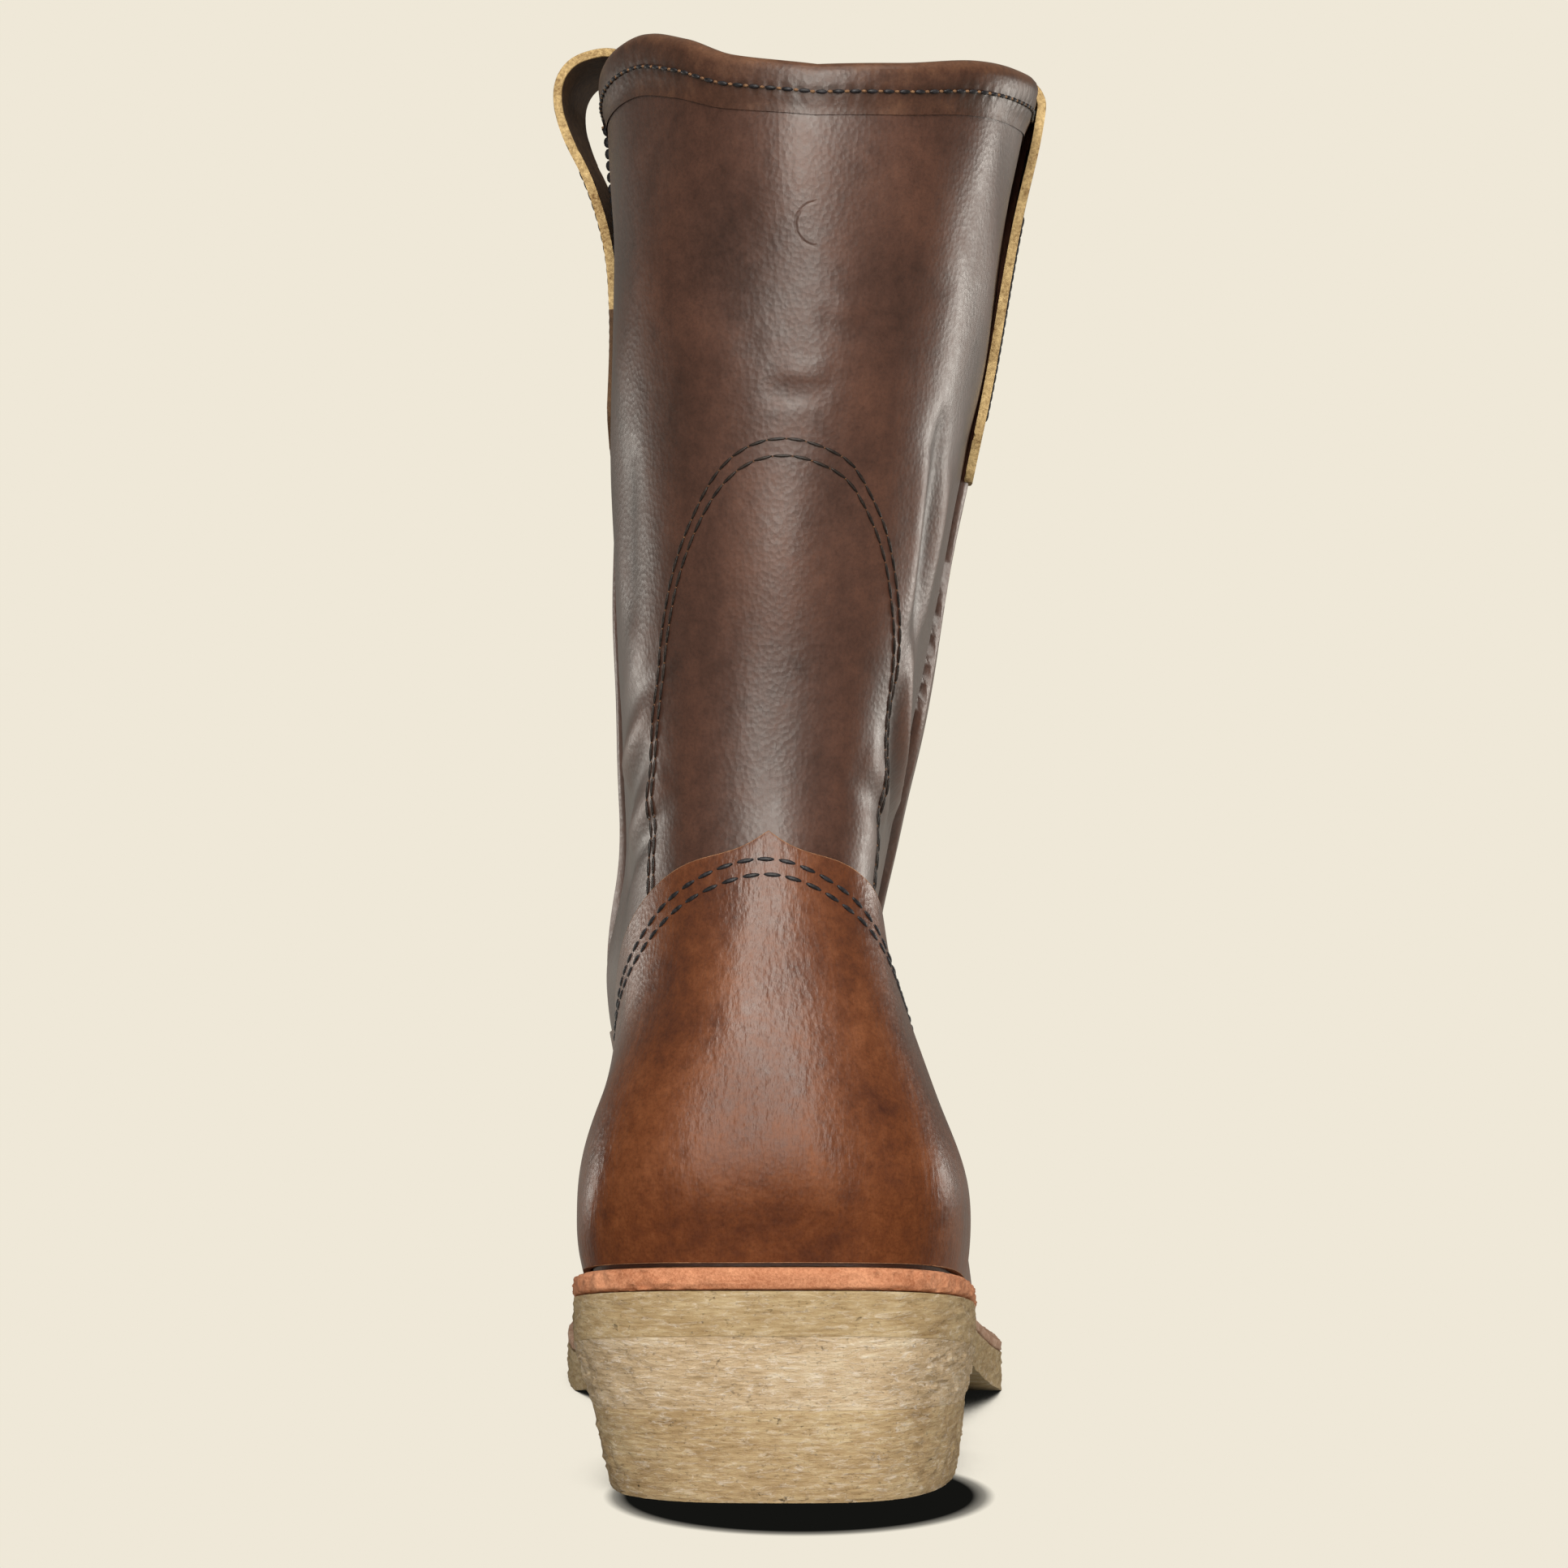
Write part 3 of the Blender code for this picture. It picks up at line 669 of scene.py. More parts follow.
def ramp(
    tree: bpy.types.NodeTree, factor: bpy.types.NodeSocket, stops: Sequence[tuple]
) -> bpy.types.NodeSocket:
    """Colour ramp with stops of place and colour or grey value; returns its colour socket.

    Args:
        tree: Node tree.
        factor: Socket or value that drives it.
        stops: Place and colour of each stop.

    Returns:
        Colour socket.
    """
    node = add_node(tree, "ShaderNodeValToRGB", {0: factor})
    band = node.color_ramp
    while len(band.elements) < len(stops):
        band.elements.new(0.5)
    for element, (place, colour) in zip(band.elements, stops):
        element.position = place
        element.color = linear(colour) if isinstance(colour, str) else (colour, colour, colour, 1.0)
    return node.outputs["Color"]


def noise(
    tree: bpy.types.NodeTree, size_mm: float, detail: float = 4.0, rough: float = 0.55,
    squash: tuple[float, float, float] = (1.0, 1.0, 1.0),
    turn: tuple[float, float, float] = (0.0, 0.0, 0.0),
    distortion: float = 0.0,
) -> bpy.types.NodeSocket:
    """Noise on object coordinates.

    Args:
        tree: Node tree.
        size_mm: Size of the coarsest blotch.
        detail: Octaves.
        rough: Strength of the finer octaves.
        squash: Scale of the pattern along each axis.
        turn: Turn of the pattern in radians.
        distortion: Warp of the pattern.

    Returns:
        Value socket.
    """
    coords = add_node(tree, "ShaderNodeTexCoord").outputs["Object"]
    mapped = add_node(tree, "ShaderNodeMapping", {"Vector": coords, "Scale": squash, "Rotation": turn})
    links = {
        "Vector": mapped.outputs[0], "Scale": 1000.0 / size_mm, "Detail": detail,
        "Roughness": rough, "Distortion": distortion,
    }
    return add_node(tree, "ShaderNodeTexNoise", links).outputs["Fac"]


def mix(
    tree: bpy.types.NodeTree, kind: str, factor: object, a: object, b: object
) -> bpy.types.NodeSocket:
    """Mixes two colours, given as sockets or hex values, and returns the result.

    Args:
        tree: Node tree.
        kind: Name of the operation.
        factor: Socket or value that drives it.
        a: First colour.
        b: Second colour.

    Returns:
        Colour socket.
    """
    values = [linear(value) if isinstance(value, str) else value for value in (a, b)]
    links = {"Factor": factor, 6: values[0], 7: values[1]}
    node = add_node(tree, "ShaderNodeMix", links, data_type="RGBA", blend_type=kind)
    return node.outputs[2]


def calc(tree: bpy.types.NodeTree, kind: str, a: object, b: object) -> bpy.types.NodeSocket:
    """Maths on two values or sockets."""
    return add_node(tree, "ShaderNodeMath", {0: a, 1: b}, operation=kind).outputs[0]


def bump(
    tree: bpy.types.NodeTree, height: bpy.types.NodeSocket, strength: float, depth_mm: float,
    under: bpy.types.NodeSocket | None = None,
) -> bpy.types.NodeSocket:
    """Bump of a height, on top of another bump when one is given.

    Args:
        tree: Node tree.
        height: Height socket.
        strength: Strength of the bump.
        depth_mm: Full depth of the bump.
        under: Bump that it lies on.

    Returns:
        Normal socket.
    """
    links = {"Height": height, "Strength": strength, "Distance": depth_mm * MM}
    if under is not None:
        links["Normal"] = under
    return add_node(tree, "ShaderNodeBump", links).outputs["Normal"]


def new_material(name: str) -> tuple[bpy.types.Material, bpy.types.NodeTree, bpy.types.Node]:
    """Empty material with its tree and shader.

    Args:
        name: Name of the piece.

    Returns:
        The material, its tree and its shader.
    """
    made = bpy.data.materials.new(name)
    made.use_nodes = True
    return made, made.node_tree, made.node_tree.nodes["Principled BSDF"]


@dataclass(frozen=True)
class WaxedLeather:
    """Full-grain leather stuffed with wax and oil: it pulls up lighter on ridges, is painted darker in troughs
    and seam grooves as shade (both through the tone attribute), and keeps a soft, uneven shine."""

    name: str
    deep: str
    body: str
    pulled: str
    roughness: float = 0.40
    coat: float = 0.0
    grain_mm: float = 1.1
    grain_depth_mm: float = 0.16
    blotch_mm: float = 15.0
    streaks: bool = False
    stamp: bool = False
    shine: float = 0.5
    shine_low: float = 0.0

    def make(self) -> bpy.types.Material:
        """Builds the material.

        Returns:
            The material.
        """
        made, tree, shader = new_material(self.name)
        blotch = noise(tree, self.blotch_mm, 4.0, 0.55, (1.0, 1.0, 0.7), distortion=0.6)
        fine = noise(tree, 3.2, 6.0, 0.7)
        tone = add_node(tree, "ShaderNodeAttribute", attribute_name="tone").outputs["Fac"]
        mixed = calc(tree, "ADD", calc(tree, "MULTIPLY", blotch, 0.50), calc(tree, "MULTIPLY", fine, 0.50))
        # Tone: lighter on ridges as pull-up, darker in troughs and seam grooves as painted shade.
        blotch_pull_up_and_painted_shade = calc(tree, "ADD", mixed, tone)
        colour = ramp(tree, blotch_pull_up_and_painted_shade, ((0.28, self.deep), (0.50, self.body), (0.80, self.pulled)))
        pores = noise(tree, self.grain_mm * 0.55, 2.0, 0.5)
        colour = mix(tree, "MULTIPLY", 0.55, colour, ramp(tree, pores, ((0.30, 0.62), (0.55, 1.0))))
        tree.links.new(colour, shader.inputs["Base Color"])
        spread = ramp(tree, mixed, ((0.3, self.roughness - 0.08), (0.7, self.roughness + 0.10)))
        tree.links.new(spread, shader.inputs["Roughness"])
        shader.inputs["Specular IOR Level"].default_value = self.shine
        if self.shine_low:
            height = add_node(tree, "ShaderNodeSeparateXYZ", {
                0: add_node(tree, "ShaderNodeTexCoord").outputs["Object"]}).outputs["Z"]
            stops = ((0.55, self.shine_low), (0.95, self.shine))
            rising = ramp(tree, calc(tree, "MULTIPLY", height, 10.0), stops)
            tree.links.new(rising, shader.inputs["Specular IOR Level"])
        shader.inputs["Coat Weight"].default_value = self.coat
        shader.inputs["Coat Roughness"].default_value = 0.35
        cells = add_node(tree, "ShaderNodeTexVoronoi", {
            "Vector": add_node(tree, "ShaderNodeTexCoord").outputs["Object"],
            "Scale": 1000.0 / self.grain_mm, "Randomness": 1.0,
        }, feature="F1").outputs["Distance"]
        waves = noise(tree, 9.0, 3.0, 0.5)
        made_bump = bump(tree, waves, 0.08, 0.9)
        creases = noise(tree, 1.5, 4.0, 0.6, (1.0, 1.0, 0.30), distortion=0.5)
        made_bump = bump(tree, creases, 0.20, 0.22, made_bump)
        made_bump = bump(tree, cells, 0.26, self.grain_depth_mm, made_bump)
        if self.stamp:
            place = add_node(tree, "ShaderNodeMapping", {
                "Vector": add_node(tree, "ShaderNodeTexCoord").outputs["Object"],
                "Location": (-0.0052, 0.0, -0.2495), "Scale": (1.0, 0.0, 1.0),
            }).outputs[0]
            away = add_node(tree, "ShaderNodeVectorMath", {0: place}, operation="LENGTH").outputs["Value"]
            split = add_node(tree, "ShaderNodeSeparateXYZ", {0: place})
            depth = add_node(tree, "ShaderNodeSeparateXYZ", {
                0: add_node(tree, "ShaderNodeTexCoord").outputs["Object"]}).outputs["Y"]
            ring = calc(tree, "ABSOLUTE", calc(tree, "SUBTRACT", away, 0.0043), 0.0)
            dent = ramp(tree, calc(tree, "MULTIPLY", ring, 1000.0), ((0.0, 0.0), (0.45, 1.0)))
            side = calc(tree, "MULTIPLY", calc(tree, "ADD", split.outputs["X"], 0.0012), 400.0)
            broken = ramp(tree, calc(tree, "ADD", side, 0.5), ((0.60, 0.0), (1.0, 1.0)))
            front = calc(tree, "GREATER_THAN", depth, -0.10)
            dent = calc(tree, "MAXIMUM", calc(tree, "MAXIMUM", dent, broken), front)
            made_bump = bump(tree, dent, 0.5, 0.14, made_bump)
        if self.streaks:
            lines = noise(tree, 1.6, 3.0, 0.6, (1.0, 1.0, 0.28), (0.0, 0.75, 0.5))
            made_bump = bump(tree, lines, 0.55, 0.28, made_bump)
        tree.links.new(made_bump, shader.inputs["Normal"])
        return made


@dataclass(frozen=True)
class RawEdge:
    """Cut edge or flesh side of vegetable-tanned leather: matt, fibrous and lighter than the grain."""

    name: str
    dark: str
    light: str
    fibre_mm: float = 0.9
    roughness: float = 0.82

    def make(self) -> bpy.types.Material:
        """Builds the material.

        Returns:
            The material.
        """
        made, tree, shader = new_material(self.name)
        fibres = noise(tree, self.fibre_mm, 5.0, 0.7)
        patches = noise(tree, 9.0, 3.0, 0.6)
        both = calc(tree, "ADD", calc(tree, "MULTIPLY", fibres, 0.6), calc(tree, "MULTIPLY", patches, 0.4))
        colour = ramp(tree, both, ((0.33, self.dark), (0.64, self.light)))
        tree.links.new(colour, shader.inputs["Base Color"])
        shader.inputs["Roughness"].default_value = self.roughness
        shader.inputs["Specular IOR Level"].default_value = 0.3
        tree.links.new(bump(tree, fibres, 0.8, 0.35), shader.inputs["Normal"])
        return made


@dataclass(frozen=True)
class CrepeRubber:
    """Sheets of natural crepe rubber, buffed at the edge: matt khaki with level fibres, specks and pits."""

    name: str
    dark: str
    body: str
    light: str
    fuzz: float = 0.5

    def make(self) -> bpy.types.Material:
        """Builds the material.

        Returns:
            The material.
        """
        made, tree, shader = new_material(self.name)
        fibres = noise(tree, 5.0, 6.0, 0.7, (1.0, 1.0, 7.0))
        clouds = noise(tree, 16.0, 4.0, 0.6, (1.0, 1.0, 2.0))
        both = calc(tree, "ADD", calc(tree, "MULTIPLY", fibres, 0.6), calc(tree, "MULTIPLY", clouds, 0.4))
        colour = ramp(tree, both, ((0.34, self.dark), (0.50, self.body), (0.66, self.light)))
        specks = noise(tree, 1.1, 3.0, 0.7, (1.0, 1.0, 1.6))
        colour = mix(tree, "MULTIPLY", 0.75, colour, ramp(tree, specks, ((0.30, 0.45), (0.42, 1.0))))
        pale = noise(tree, 3.4, 5.0, 0.8, (1.0, 1.0, 3.6), distortion=0.8)
        colour = mix(tree, "SCREEN", self.fuzz * 0.7, colour, ramp(tree, pale, ((0.52, 0.0), (0.70, 0.75))))
        pits = noise(tree, 3.1, 3.0, 0.6, (1.0, 1.0, 1.7), distortion=0.5)
        colour = mix(tree, "MULTIPLY", 0.8, colour, ramp(tree, pits, ((0.25, 0.30), (0.31, 1.0))))
        tree.links.new(colour, shader.inputs["Base Color"])
        shader.inputs["Roughness"].default_value = 0.9
        shader.inputs["Specular IOR Level"].default_value = 0.25
        made_bump = bump(tree, fibres, 0.7, 0.7 * self.fuzz)
        made_bump = bump(tree, specks, 0.7, 0.4 * self.fuzz, made_bump)
        made_bump = bump(tree, ramp(tree, pits, ((0.25, 0.0), (0.32, 1.0))), 0.7, 0.6, made_bump)
        made_bump = bump(tree, pale, 0.6, 0.5 * self.fuzz, made_bump)
        tree.links.new(made_bump, shader.inputs["Normal"])
        return made


@dataclass(frozen=True)
class WaxedThread:
    """Thick waxed thread, sewn and pressed into the leather: dark with a small dull shine."""

    name: str
    dark: str
    light: str

    def make(self) -> bpy.types.Material:
        """Builds the material.

        Returns:
            The material.
        """
        made, tree, shader = new_material(self.name)
        twist = noise(tree, 0.9, 2.0, 0.5, (1.0, 1.0, 1.0), (0.6, 0.4, 0.2))
        colour = ramp(tree, twist, ((0.35, self.dark), (0.65, self.light)))
        tree.links.new(colour, shader.inputs["Base Color"])
        shader.inputs["Roughness"].default_value = 0.5
        tree.links.new(bump(tree, twist, 0.6, 0.2), shader.inputs["Normal"])
        return made


@dataclass(frozen=True)
class PaleStage:
    """Seamless pale paper that glows as a lamp: fully to the camera, more weakly to the boot, and in
    reflections more strongly on the floor near the boot than towards the camera. Its colour carries a painted
    shadow: a dark ellipse under and in front of the heel, and painted shade wherever ambient occlusion is high
    near the sole.
    """

    name: str = "pale_paper_painted_shadow"
    colour: str = "#EFE8D8"
    # Colour of the painted shadow and painted shade.
    shade: str = "#141412"
    reach: float = 0.030
    # Centre and radii of the painted shadow ellipse under and in front of the heel.
    painted_shadow_at: tuple[float, float] = (0.0030, 0.012)
    painted_shadow_size: tuple[float, float] = (0.0350, 0.0475)
    bounce: float = 0.30
    mirrored: float = 0.30
    mirrored_behind: float = 0.16
    mirrored_beside: float = 0.60

    def make(self, shift: Vector) -> bpy.types.Material:
        """Builds the material.

        Args:
            shift: Move from the boot's own sizes to the frame.

        Returns:
            The material.
        """
        made = bpy.data.materials.new(self.name)
        made.use_nodes = True
        tree = made.node_tree
        tree.nodes.clear()
        # Ambient occlusion near the sole, used to paint shade onto the paper.
        shut = add_node(
            tree, "ShaderNodeAmbientOcclusion", {"Distance": self.reach}, samples=12).outputs["AO"]
        coords = add_node(tree, "ShaderNodeTexCoord").outputs["Object"]
        middle = (self.painted_shadow_at[0] + shift.x, self.painted_shadow_at[1] + shift.y)
        # Painted shadow: a soft dark ellipse placed by object coordinates.
        painted_shadow_place = add_node(tree, "ShaderNodeMapping", {
            "Vector": coords, "Scale": (1 / self.painted_shadow_size[0], 1 / self.painted_shadow_size[1], 8.0),
            "Location": (-middle[0] / self.painted_shadow_size[0], -middle[1] / self.painted_shadow_size[1], 0.0),
        }).outputs[0]
        away = add_node(tree, "ShaderNodeVectorMath", {0: painted_shadow_place}, operation="LENGTH").outputs["Value"]
        painted_shadow_fade = ramp(tree, calc(tree, "MULTIPLY", away, 0.5), ((0.485, 0.0), (0.52, 0.30), (0.550, 1.0)))
        tooth = noise(tree, 2.0, 3.0, 0.5)
        even = mix(tree, "MULTIPLY", 0.01, self.colour, ramp(tree, tooth, ((0.3, 0.9), (0.7, 1.0))))
        # Share of the even colour left after the painted shadow and the painted occlusion shade.
        light = calc(tree, "MINIMUM", painted_shadow_fade, ramp(tree, shut, ((0.16, 0.0), (0.30, 0.35), (0.46, 1.0))))
        colour = mix(tree, "MIX", light, self.shade, even)
        # The paper glows as a lamp: full to the camera, at least the bounce strength for other rays, graded
        # along the floor in reflections.
        path = add_node(tree, "ShaderNodeLightPath")
        parts = add_node(tree, "ShaderNodeSeparateXYZ", {0: coords}).outputs
        ahead = calc(tree, "MULTIPLY", calc(tree, "ADD", parts["Y"], 0.35), 2.5)
        on_floor = ramp(tree, ahead, ((0.0, self.mirrored_behind), (1.0, self.mirrored_beside)))
        wall = calc(tree, "GREATER_THAN", parts["Z"], 0.05)
        mirror = mix(tree, "MIX", wall, on_floor, (self.mirrored, self.mirrored, self.mirrored, 1.0))
        strength = calc(tree, "MAXIMUM", path.outputs["Is Camera Ray"],
                        calc(tree, "MAXIMUM", calc(tree, "MULTIPLY", path.outputs["Is Glossy Ray"], mirror),
                             self.bounce))
        glow = add_node(tree, "ShaderNodeEmission", {"Color": colour, "Strength": strength}).outputs[0]
        add_node(tree, "ShaderNodeOutputMaterial", {"Surface": glow})
        return made


@dataclass(frozen=True)
class Palette:
    """The finishes of the boot."""

    # Dark brown with reddish clouds and a soft central shine; carries the faint pressed ring.
    shaft: WaxedLeather = WaxedLeather(
        "waxed_shaft_leather", "#35211A", "#4B3026", "#623F30", stamp=True, shine=0.62)
    # Redder and glossier above, dry with a slanting grain below.
    counter: WaxedLeather = WaxedLeather(
        "waxed_counter_leather", "#40231A", "#63371F", "#875232", roughness=0.36, streaks=True, shine_low=0.10)
    # As the shaft, painted lighter over the top of the rolled rim as a highlight and darker along the stitch
    # pinch as shade.
    collar: WaxedLeather = WaxedLeather(
        "waxed_collar_leather", "#2F1E16", "#4B3024", "#73503A", shine=0.5)
    # Tan bumps that the thread pulls up between the collar's stitches.
    hump: RawEdge = RawEdge("pulled_stitch_hole_leather", "#624431", "#A07C5A", 0.6, 0.6)
    # Small dull bumps at the ends of the shaft's stitches.
    arch_hump: RawEdge = RawEdge("pulled_shaft_leather", "#4A3224", "#7A5A40", 0.6, 0.6)
    # Thin pale line along the overlays' cut edges.
    cut: RawEdge = RawEdge("raw_cut_leather", "#5E3B28", "#B08462")
    # Brown fuzzy flesh side on the faces of the pull straps.
    strap_face: RawEdge = RawEdge("strap_flesh_leather", "#3A281C", "#6B5038", 1.2, 0.7)
    # Golden speckled cut edge of the pull straps.
    strap_edge: RawEdge = RawEdge("golden_cut_leather", "#6B4A22", "#E8CC94", 0.7, 0.75)
    # Red-orange fuzzy edge between the counter and the crepe.
    rand: RawEdge = RawEdge("fuzzy_rand_leather", "#A05E3C", "#DEA17D", 0.6, 0.9)
    # Pinkish tan edge round the forefoot.
    welt: RawEdge = RawEdge("welt_leather", "#8A5A3E", "#CBAE98", 0.9, 0.8)
    # Plain tan board, seen only through the collar.
    insole: RawEdge = RawEdge("insole_board_leather", "#7A5638", "#B58E66", 1.4, 0.8)
    # Khaki sheet with a fine level grain.
    slip: CrepeRubber = CrepeRubber("crepe_slip_sole", "#8A714D", "#AA946F", "#C3B190", 0.5)
    # Palest sheet, with strong whitish fibres.
    lift: CrepeRubber = CrepeRubber("crepe_heel_lift", "#9A8461", "#C3AC8C", "#DED0B6", 0.9)
    # Calmer khaki block with a few dark pits.
    top_piece: CrepeRubber = CrepeRubber("crepe_top_piece", "#876E4B", "#AF9772", "#CAB895", 0.6)
    # Thick near-black thread of the collar and the overlays.
    black: WaxedThread = WaxedThread("black_waxed_thread", "#0C0C10", "#2A2A30")
    # Thinner dark thread of the shaft and the bottom.
    brown: WaxedThread = WaxedThread("brown_waxed_thread", "#100C0A", "#2B211C")


def stitch_row(last: Last, relief: Relief, line: Table, pitch_mm: float, long_mm: float, thick_mm: float,
               lift: float, between: bool = False) -> list[Matrix]:
    """Places of the stitches along a line on the leather.

    Args:
        last: Shape that the leather follows.
        relief: Its folds.
        line: Degrees and rows.
        pitch_mm: Distance from stitch to stitch.
        long_mm: Length of a stitch.
        thick_mm: Thickness of the thread.
        lift: Height of the sewn face over the skin.
        between: Gives the small humps between the stitches instead.

    Returns:
        One matrix per stitch, for a ball of radius 1.
    """
    angle, row, _ = last.trace(line, pitch_mm * MM / 2)
    angle, row = angle[1 if between else 0 :: 2], row[1 if between else 0 :: 2]
    out = last.normal(angle, row)
    spots = last.skin(angle, row) + out * (relief.at(angle, row) + lift)[:, None]
    along = np.gradient(spots, axis=0)
    along /= np.linalg.norm(along, axis=1, keepdims=True)
    places = []
    for spot, way, up in zip(spots, along, out):
        side = np.cross(up, way)
        side /= np.linalg.norm(side)
        up = np.cross(way, side)
        axes = np.column_stack([side * thick_mm / 2, up * thick_mm / 2, way * long_mm / 2]) * MM
        whole = np.eye(4)
        whole[:3, :3] = axes
        whole[:3, 3] = spot + up * thick_mm * 0.18 * MM
        places.append(Matrix(whole.tolist()))
    return places


def thread_piece(
    name: str, places: Sequence[Matrix], shift: Vector, material: bpy.types.Material
) -> bpy.types.Object:
    """All stitches of one thread as a joined mesh.

    Args:
        name: Name of the piece.
        places: One matrix per stitch.
        shift: Move to the frame.
        material: Finish of the thread.

    Returns:
        The piece.
    """
    mesh = bmesh.new()
    for place in places:
        bmesh.ops.create_uvsphere(mesh, u_segments=8, v_segments=6, radius=1.0, matrix=place)
    for face in mesh.faces:
        face.smooth = True
    bmesh.ops.translate(mesh, vec=shift, verts=mesh.verts[:])
    bmesh.ops.recalc_face_normals(mesh, faces=mesh.faces[:])
    data = bpy.data.meshes.new(name)
    mesh.to_mesh(data)
    mesh.free()
    data.materials.append(material)
    piece = bpy.data.objects.new(name, data)
    bpy.context.scene.collection.objects.link(piece)
    return piece


@dataclass
class Boot:
    """Shared ground of the sub-assemblies: the last, its relief and the shift to the frame."""

    last: Last
    relief: Relief
    shift: Vector

    def keep(
        self, piece: bpy.types.Object, materials: Sequence[bpy.types.Material], slot: Slot,
        nodes: Sequence[str] = (),
    ) -> bpy.types.Object:
        """Dresses a piece, sets it on the body and hides the solids that it stands for.

        Args:
            piece: The piece.
            materials: Finishes in slot order.
            slot: Slot of the record; not used.
            nodes: Solids that it stands for.

        Returns:
            The piece.
        """
        for material in materials:
            piece.data.materials.append(material)
        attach(piece, "root")
        if nodes:
            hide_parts(*nodes)
        LOG.info("%s: %d faces", piece.name, len(piece.data.polygons))
        return piece

    def leather(self, angle: Points, row: Points, lift: Points, level: Points | None = None) -> Points:
        """Places on the folded leather, with a tone that is lighter on its ridges as pull-up and painted
        darker in its troughs and seam grooves as shade.

        Args:
            angle: Radians from the heel centre.
            row: Rows.
            lift: Height over the skin.
            level: 1 where the height over the floor is kept.

        Returns:
            x, y, z and tone.
        """
        moved = self.relief.at(angle, row)
        out = self.last.normal(angle, row) * (lift + moved)[:, None]
        if level is not None:
            out[:, 2] *= 1 - level
        # Tone from the relief: ridges lighter as pull-up; troughs and seam grooves darker, which is painted
        # shade.
        return np.column_stack([self.last.skin(angle, row) + out, np.clip(moved / MM, -1.5, 1.5) * 0.16])


@dataclass
class Upper:
    """Shaft and foot, the two overlays and the collar binding."""

    boot: Boot
    round_segments: int = 240
    outer_rows: int = 168
    inner_rows: int = 26
    row_table: tuple = ((0.0, 0.0), (0.20, 2.2), (0.38, 4.4), (1.0, 13.0))
    counter_foot: float = 66.0
    counter_side: float = 60.0
    overlay_foot: float = 0.10
    peak: float = 0.28
    peak_angle: float = 5.0
    counter_top: tuple = ((0, 6.50), (15, 6.45), (30, 6.22), (45, 5.80), (60, 5.10), (70, 4.60))
    vamp_top: tuple = ((56, 4.75), (75, 4.95), (100, 5.25), (130, 5.95), (155, 6.75), (180, 7.30))
    vamp_rows: tuple = ((0.0, 0.0), (0.36, 2.2), (0.66, 4.4), (1.0, 7.3))
    parting: float = 1.2
    binding: float = 0.0010
    binding_rows: float = 0.31
    arch_inner: tuple = (
        ((0.3, 10.30), (9.4, 10.23), (16.9, 10.04), (22.5, 9.78), (27.2, 9.51), (30.9, 9.23),
         (36.0, 8.62), (38.8, 7.96), (40.3, 7.16), (39.0, 6.3)),
        ((0.3, 10.17), (9.0, 10.10), (16.0, 9.92), (21.3, 9.68), (25.6, 9.42), (29.2, 9.14),
         (33.6, 8.58), (36.2, 7.96), (37.4, 7.16), (36.2, 6.3)),
    )
    arch_outer: tuple = (
        ((-8.4, 10.23), (-14.2, 10.14), (-20.7, 9.92), (-26.8, 9.67), (-31.5, 9.41), (-35.7, 9.11),
         (-40.8, 8.66), (-42.9, 8.2), (-45.5, 7.5), (-46.0, 6.9), (-45.0, 6.2)),
        ((-8.2, 10.10), (-13.8, 10.01), (-19.8, 9.81), (-25.4, 9.57), (-29.8, 9.32), (-33.4, 9.05),
         (-38.2, 8.62), (-40.2, 8.2), (-42.6, 7.5), (-43.2, 6.9), (-42.2, 6.25)),
    )
    counter_inner: tuple = (
        ((1.7, 6.42), (11.9, 6.28), (20, 6.10), (26.2, 5.93), (33.5, 5.66), (42, 5.32), (50, 4.95),
         (57, 4.55)),
        ((1.6, 6.22), (10.1, 6.10), (15, 6.00), (22.1, 5.82), (31.1, 5.52), (40, 5.16), (48, 4.8),
         (55, 4.4)),
    )
    counter_outer: tuple = (
        ((-4, 6.38), (-11.8, 6.22), (-19.8, 6.00), (-24.5, 5.83), (-33, 5.48), (-42, 5.05),
         (-50, 4.7), (-57, 4.35)),
        ((-4, 6.18), (-10.8, 6.04), (-16.5, 5.88), (-20.4, 5.76), (-30.1, 5.40), (-40, 4.96),
         (-48, 4.6), (-55, 4.2)),
    )
    vamp_seams: tuple = (
        ((63, 4.55), (64.5, 3.6), (66, 2.4), (67.5, 1.2), (68.5, 0.5)),
        ((65.5, 4.6), (67, 3.6), (68.5, 2.4), (70, 1.2), (71, 0.5)),
        ((-63, 4.55), (-64.5, 3.6), (-66, 2.4), (-67.5, 1.2), (-68.5, 0.5)),
        ((-65.5, 4.6), (-67, 3.6), (-68.5, 2.4), (-70, 1.2), (-71, 0.5)),
    )

    def build_shell(self, material: bpy.types.Material) -> bpy.types.Object:
        """Hollow shaft and foot with its wall.

        Args:
            material: Finish of the piece.

        Returns:
            The piece.
        """
        last = self.boot.last
        rows = self.outer_rows + self.inner_rows + 2

        def place(a: Points, b: Points) -> Points:
            """Places the grid's points.

            Args:
                a: Share across or round.
                b: Share along.

            Returns:
                x, y, z and tone.
            """
            step = np.rint(b * rows)
            outer = np.clip(step / self.outer_rows, 0, 1)
            inner = np.clip((step - self.outer_rows - 1) / self.inner_rows, 0, 1)
            upward = through(self.row_table, outer)
            row = np.where(step <= self.outer_rows, upward, last.top_row * (1 - inner))
            lift = np.where((step > self.outer_rows) & (step < rows), -last.wall, 0.0)
            row = np.where(step == rows, 0.0, row)
            level = np.where((row <= 0) | (row >= last.top_row), 1.0, 0.0)
            return self.boot.leather(a * 2 * math.pi, row, lift, level)

        mesh = sleeve(self.round_segments, rows, place)
        piece = finished(mesh, "upper_leather", self.boot.shift, 60)
        return self.boot.keep(piece, [material], Slot.SHAFT, ["upper"])

